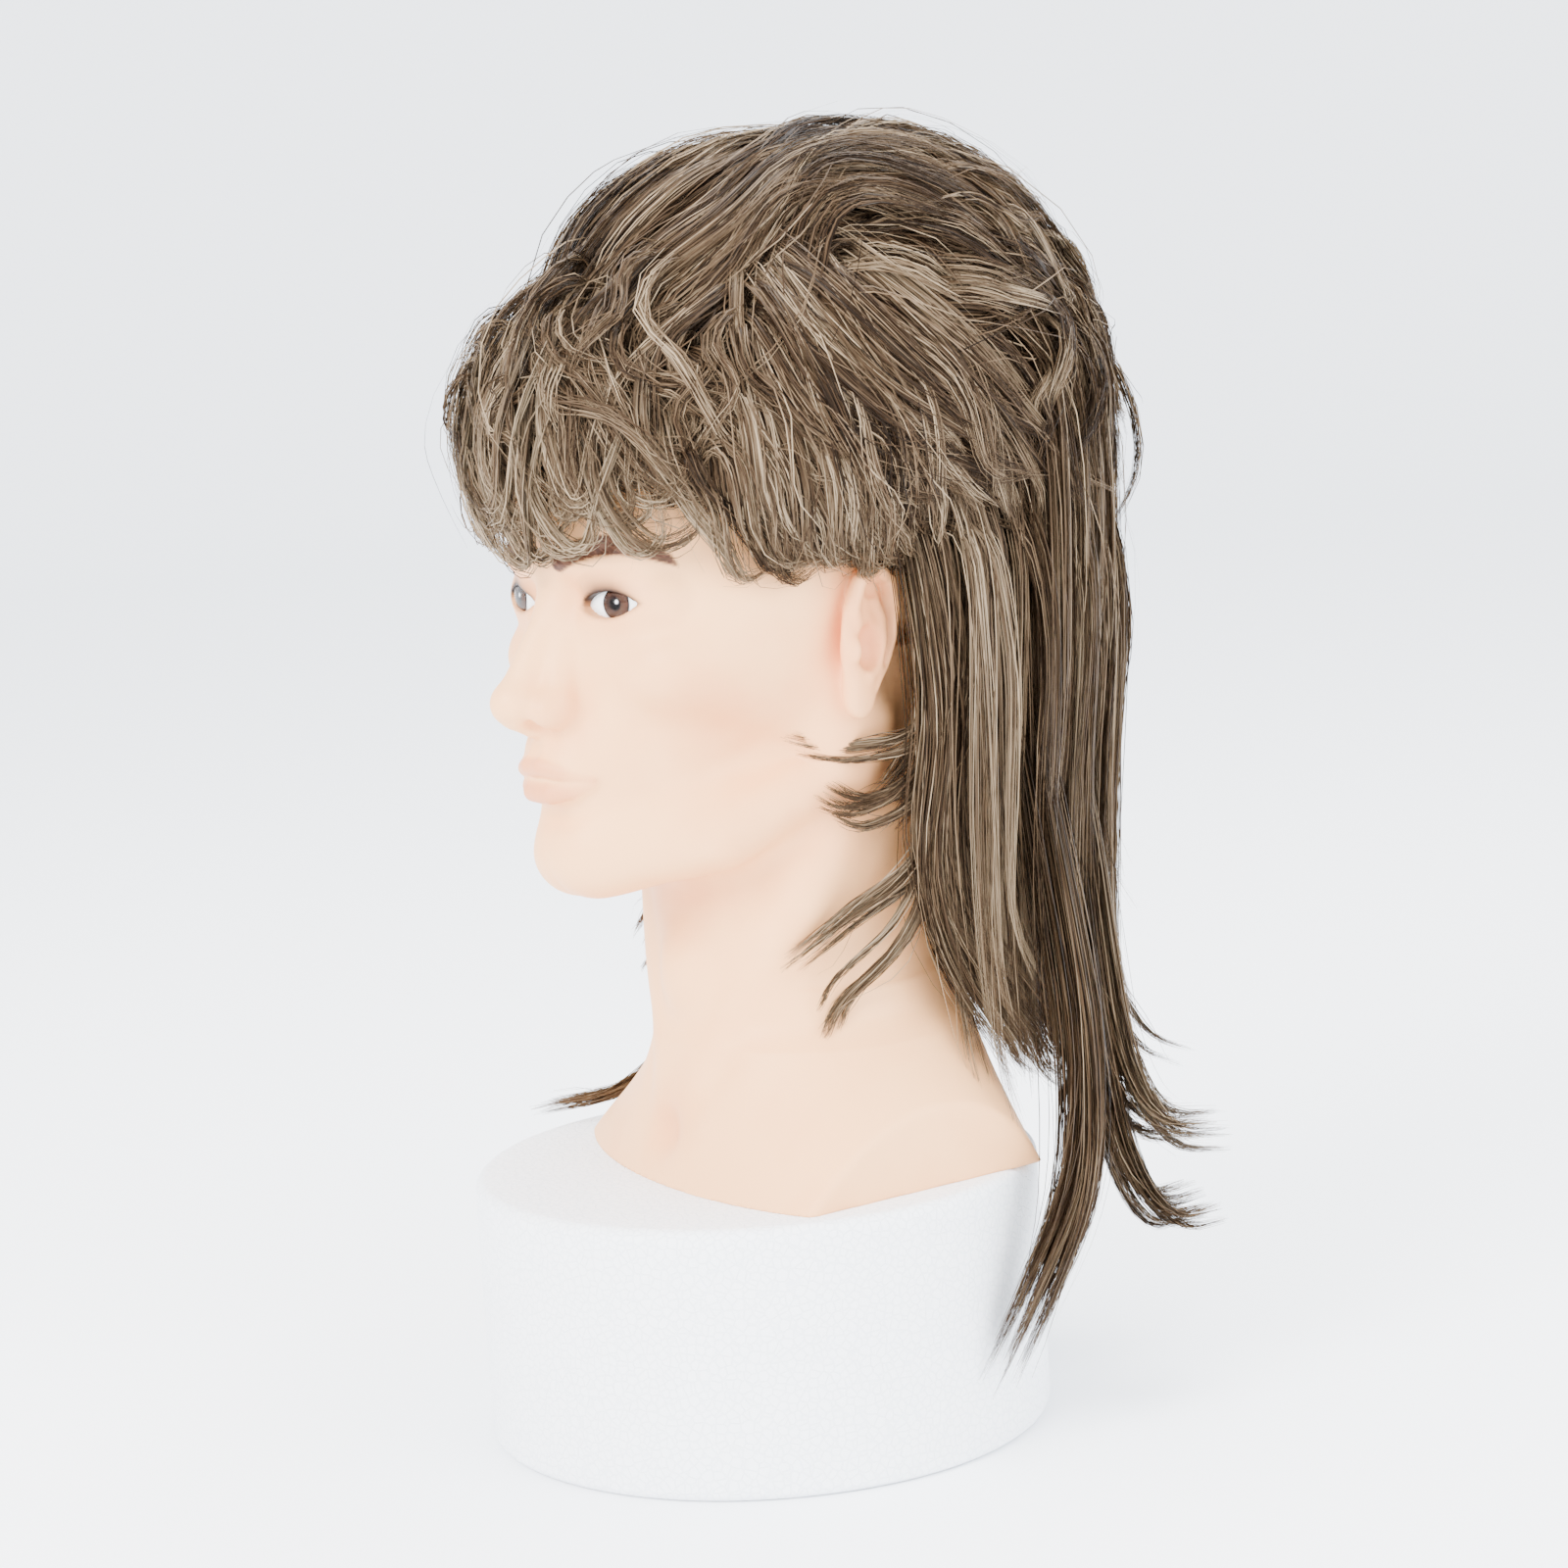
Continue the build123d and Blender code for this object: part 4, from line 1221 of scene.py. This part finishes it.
def crown_locks():
    """Layers from the crown down over the back of the head, with ends that lift off."""
    locks = Locks(31)
    n = 220
    psi = locks.spread(-62, 62, n)
    root = locks.spread(86, 140, n)
    length = locks.spread(52, 86, n)
    deep = 0.45 + 0.58 * locks.random.random(n) ** 0.6
    drift = locks.spread(-10, 10, n)
    flip = locks.spread(-0.2, 0.10, n)
    path = through(over_top, [
        (root, psi, 0.05 * deep),
        (root + 0.12 * length, psi, 0.65 * deep),
        (root + 0.42 * length, psi + 0.4 * drift, deep),
        (root + 0.75 * length, psi + 0.9 * drift, 1.02 * deep),
        (root + length, psi + 1.2 * drift, deep + flip)])
    # Locks that lie deep, near the scalp, get a lower tone: painted shade between the layers.
    locks.grow(path, locks.spread(5.0, 11.0, n), locks.spread(2.0, 4.2, n), wave=11.0,
               wavelength=0.66, phase=root / 80.0 + psi / 130.0 + locks.spread(-0.13, 0.13, n),
               tone_and_shade=locks.spread(0.08, 0.84, n) * np.minimum(0.35 + 0.7 * deep, 1.0))
    tufts = 34
    psi = locks.spread(-46, 46, tufts)
    root = locks.spread(84, 150, tufts)
    turn = locks.spread(-14, 14, tufts)
    path = through(over_top, [
        (root, psi, 0.5),
        (root + 14, psi, 0.98),
        (root + 26, psi + 0.4 * turn, 1.03),
        (root + 36, psi + turn, 1.05),
        (root + 40, psi + 1.4 * turn, 1.09)])
    locks.grow(path, locks.spread(2.0, 4.5, tufts), locks.spread(1.2, 2.2, tufts), wave=3.0,
               phase=locks.spread(0, 1, tufts), tone_and_shade=locks.spread(0.3, 0.95, tufts), loose=1.3)
    return locks


def side_locks(sign):
    """Layers from the temple and above the ear, swung down and back."""
    locks = Locks(41 if sign > 0 else 42)
    n = 210
    azimuth = locks.spread(46, 128, n)
    high = locks.spread(6, 52, n)
    low = locks.spread(-20, 0, n)
    swing = locks.spread(14, 46, n)
    deep = 0.40 + 0.60 * locks.random.random(n) ** 0.7
    curl = locks.spread(-0.25, 0.12, n)
    path = through(around, [
        (sign * azimuth, high, 0.05 * deep),
        (sign * (azimuth + 0.12 * swing), high + 6, 0.7 * deep),
        (sign * (azimuth + 0.5 * swing), 0.5 * (high + low) + 4, deep),
        (sign * (azimuth + 0.9 * swing), low + 4, deep),
        (sign * (azimuth + 1.25 * swing), low - 1, deep + curl)])
    # Locks that lie deep, near the scalp, get a lower tone: painted shade between the layers.
    locks.grow(path, locks.spread(3.6, 7.5, n), locks.spread(1.6, 3.4, n), wave=7.5,
               wavelength=0.7, phase=azimuth / 110.0 + locks.spread(-0.12, 0.12, n),
               tone_and_shade=locks.spread(0.2, 0.9, n) * np.minimum(0.4 + 0.65 * deep, 1.0))
    roll = 80
    azimuth = locks.spread(40, 84, roll)
    high = locks.spread(0, 30, roll)
    low = locks.spread(-21, -11, roll)
    deep = locks.spread(0.45, 0.95, roll)
    path = through(around, [
        (sign * azimuth, high, 0.3 * deep),
        (sign * (azimuth + 3), 0.5 * high, 0.95 * deep),
        (sign * (azimuth + 8), 0.5 * low, deep),
        (sign * (azimuth + 15), low, 0.72 * deep),
        (sign * (azimuth + 25), low + 5, 0.5 * deep)])
    locks.grow(path, locks.spread(2.4, 5.0, roll), locks.spread(1.2, 2.6, roll), wave=4.0,
               wavelength=0.6, phase=locks.spread(0, 1, roll), tone_and_shade=locks.spread(0.2, 0.9, roll), loose=1.3)
    return locks


def upper_back_locks():
    """Under layers at the back, which carry the volume into the long lengths."""
    locks = Locks(51)
    n = 260
    azimuth = locks.spread(112, 248, n)
    high = locks.spread(-14, 34, n)
    deep = 0.5 + 0.5 * locks.random.random(n) ** 0.7
    end = locks.spread(215, 325, n)
    path = through(around, [
        (azimuth, high, 0.05 * deep),
        (azimuth, high - 1, 0.7 * deep),
        (azimuth, high * 0.5 - 8, 0.98 * deep)])
    path += through(hang, [
        (azimuth, 0.97 * deep, 0.5 * (end + 340)),
        (azimuth, 0.88 * deep, end, -4.0)])
    locks.grow(path, locks.spread(4.5, 9.0, n), locks.spread(2.0, 3.8, n), wave=4.5,
               wavelength=0.8, phase=azimuth / 90.0, tone_and_shade=locks.spread(0.25, 0.95, n))
    return locks


def long_locks():
    """Long, nearly straight lengths down the back, with ends that flick outwards."""
    locks = Locks(61)
    n = 330
    azimuth = locks.spread(98, 262, n)
    high = locks.spread(-18, 24, n)
    layer = locks.random.random(n) ** 0.8
    end = locks.spread(112, 215, n)
    flick = locks.spread(-4, 12, n)
    nape = 330.0
    path = through(around, [
        (azimuth, high, 0.05),
        (azimuth, high - 2, 0.55 * layer)])
    path += through(hang, [
        (azimuth, 0.90 * layer, 352 + 0.25 * high),
        (azimuth, layer, 308 + 0.25 * high, 1.0),
        (azimuth, layer * 0.96, 0.55 * nape + 0.45 * end, -3.0),
        (azimuth, layer * 0.90, 0.2 * nape + 0.8 * end, -3.0),
        (azimuth, layer * 0.88, end, flick)])
    locks.grow(path, locks.spread(4.0, 8.0, n), locks.spread(1.8, 3.4, n), wave=4.0,
               wavelength=locks.spread(0.7, 1.1, n), phase=locks.spread(0, 1, n),
               tone_and_shade=locks.spread(0.25, 1.0, n))
    return locks


def fall_past(locks, routes, sign=1.0):
    """Locks scattered round given routes: path, count, scatter, width, wave and tone."""
    for path, count, scatter, width, wave, tone_and_shade in routes:
        offset = locks.random.uniform(-1.6, 1.6, (count, 1, 3)) * np.array(scatter)
        grow = np.linspace(0.5, 1.0, len(path))[None, :, None]
        scattered = (np.array(path, dtype=float) * (sign, 1.0, 1.0))[None] + offset * grow
        locks.grow([scattered[:, k] for k in range(len(path))], locks.spread(0.6 * width, width, count),
                   locks.spread(0.3 * width, 0.5 * width, count), wave=wave, tone_and_shade=tone_and_shade)
    return locks


def tip_locks():
    """The longest locks: one down beside the block, flicked ends at the back and the far side."""
    return fall_past(Locks(71), [
        ([(84, 80, 300), (92, 86, 230), (100, 88, 168), (112, 76, 120), (120, 62, 90), (120.5, 43, 64),
          (116.5, 24, 36)], 18, (4, 7, 7), 7.5, 2.5, 0.35),
        ([(66, 124, 250), (74, 126, 180), (84, 124, 132), (95, 132, 108), (109, 150, 104)],
         16, (10, 6, 7), 5.5, 2.0, 0.6),
        ([(74, 112, 230), (84, 110, 155), (92, 112, 102), (103, 124, 76), (114, 139, 76)],
         12, (6, 5, 6), 5.0, 2.0, 0.5),
        ([(0, 148, 250), (0, 146, 190), (0, 148, 150), (0, 160, 122), (0, 180, 108)],
         26, (44, 5, 9), 5.5, 2.0, 0.5),
        ([(-80, 60, 250), (-90, 60, 190), (-96, 42, 140), (-102, 6, 118), (-114, -28, 114)],
         6, (2, 4, 3), 3.0, 1.5, 0.6),
    ])


def neck_locks(sign):
    """Lengths behind the ear; the front wisps swing forwards under it."""
    return fall_past(Locks(81 if sign > 0 else 82), [
        ([(76, 40, 368), (89, 42, 330), (88, 42, 290), (80, 43, 240), (81, 54, 190), (92, 74, 146)],
         34, (2.5, 8, 8), 6.0, 3.0, 0.45),
        ([(82, 34, 372), (93, 38, 345), (91, 42, 310), (85, 42, 284), (77, 34, 262), (70, 22, 250)],
         12, (2, 5, 6), 4.0, 2.0, 0.5),
        ([(88, 46, 325), (85, 44, 296), (78, 30, 278), (69, 10, 274), (57, -12, 281)],
         4, (1.2, 3, 2.5), 1.6, 1.0, 0.55),
        ([(88, 46, 315), (84, 42, 280), (77, 28, 258), (70, 12, 250), (66, -2, 258)],
         7, (1.5, 4, 5), 2.8, 1.5, 0.45),
        ([(86, 46, 300), (81, 42, 250), (72, 28, 222), (60, 6, 205), (48, -14, 191)],
         5, (1.2, 3, 4), 2.0, 1.5, 0.65),
        ([(86, 46, 290), (79, 40, 235), (70, 24, 200), (60, 4, 178), (58, -4, 169)],
         4, (1.2, 3, 4), 1.6, 2.0, 0.65),
    ], sign)


def hair_material():
    """Ash brown with pale and dark strands: the tone picks the colour and is lowered as painted shade for
    locks lying deep; roots are darker.
    """
    nodes = Nodes("hair_fibre")
    uv = nodes.add("ShaderNodeUVMap", {"uv_map": "OFBake"}).outputs[0]
    parts = nodes.add("ShaderNodeSeparateXYZ", Vector=uv)
    tone_and_shade, along = parts.outputs[0], parts.outputs[1]
    speck = nodes.noise(nodes.stretched(uv, (260.0, 5.0, 1.0)), 1.0)
    pick = nodes.maths("ADD", tone_and_shade, nodes.range(speck, 0.3, 0.7, -0.22, 0.22), clamp=True)
    ramp = nodes.add("ShaderNodeValToRGB", Fac=pick)
    stops = [(0.0, (0.0055, 0.0026, 0.0014)), (0.25, (0.020, 0.0105, 0.0052)),
             (0.5, (0.053, 0.032, 0.0175)), (0.75, (0.112, 0.075, 0.0435)), (1.0, (0.225, 0.165, 0.104))]
    elements = ramp.color_ramp.elements
    while len(elements) < len(stops):
        elements.new(0.5)
    for element, (place, colour) in zip(elements, stops):
        element.position = place
        element.color = (*colour, 1.0)
    shade = nodes.range(along, 0.0, 0.45, 0.45, 1.0)
    grey = nodes.add("ShaderNodeCombineColor", Red=shade, Green=shade, Blue=shade).outputs[0]
    nodes.set(Base_Color=nodes.mix(1.0, ramp.outputs[0], grey, "MULTIPLY"), Roughness=0.42,
              Specular_IOR_Level=0.10, Specular_Tint=(1.0, 0.86, 0.68))
    return nodes.material


def build_hair():
    material = hair_material()
    families = {
        "hair_strands_fringe": (fringe_locks(), 28, ("hair_fringe",)),
        "hair_strands_top": (top_locks(), 61, ("hair_top",)),
        "hair_strands_crown": (crown_locks(), 54, ("hair_crown",)),
        "hair_strands_left_side": (side_locks(1.0), 46, ("hair_left_side",)),
        "hair_strands_right_side": (side_locks(-1.0), 36, ("hair_right_side",)),
        "hair_strands_upper_back": (upper_back_locks(), 36, ("hair_upper_back",)),
        "hair_strands_long_back": (long_locks(), 40, ("hair_long_back",)),
        "hair_strands_tips": (tip_locks(), 60, ("hair_back_tips", "hair_left_tip", "hair_right_tip")),
        "hair_strands_left_neck": (neck_locks(1.0), 50, ("hair_left_neck_length",)),
        "hair_strands_right_neck": (neck_locks(-1.0), 50, ("hair_right_neck_length",)),
    }
    for name, (locks, per_lock, nodes) in families.items():
        points, twist, tones_and_shade = locks.strands(per_lock)
        new_piece(name, ribbon_mesh(name, points, twist, tones_and_shade), "wig", material, nodes)


# ------------------------------------------------------------ the scene

def main():
    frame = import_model()
    add_camera()
    add_studio()
    add_floor()
    build_foam()
    build_head()
    build_eyes()
    dress_small_parts(frame["nodes"])
    build_hair()


main()
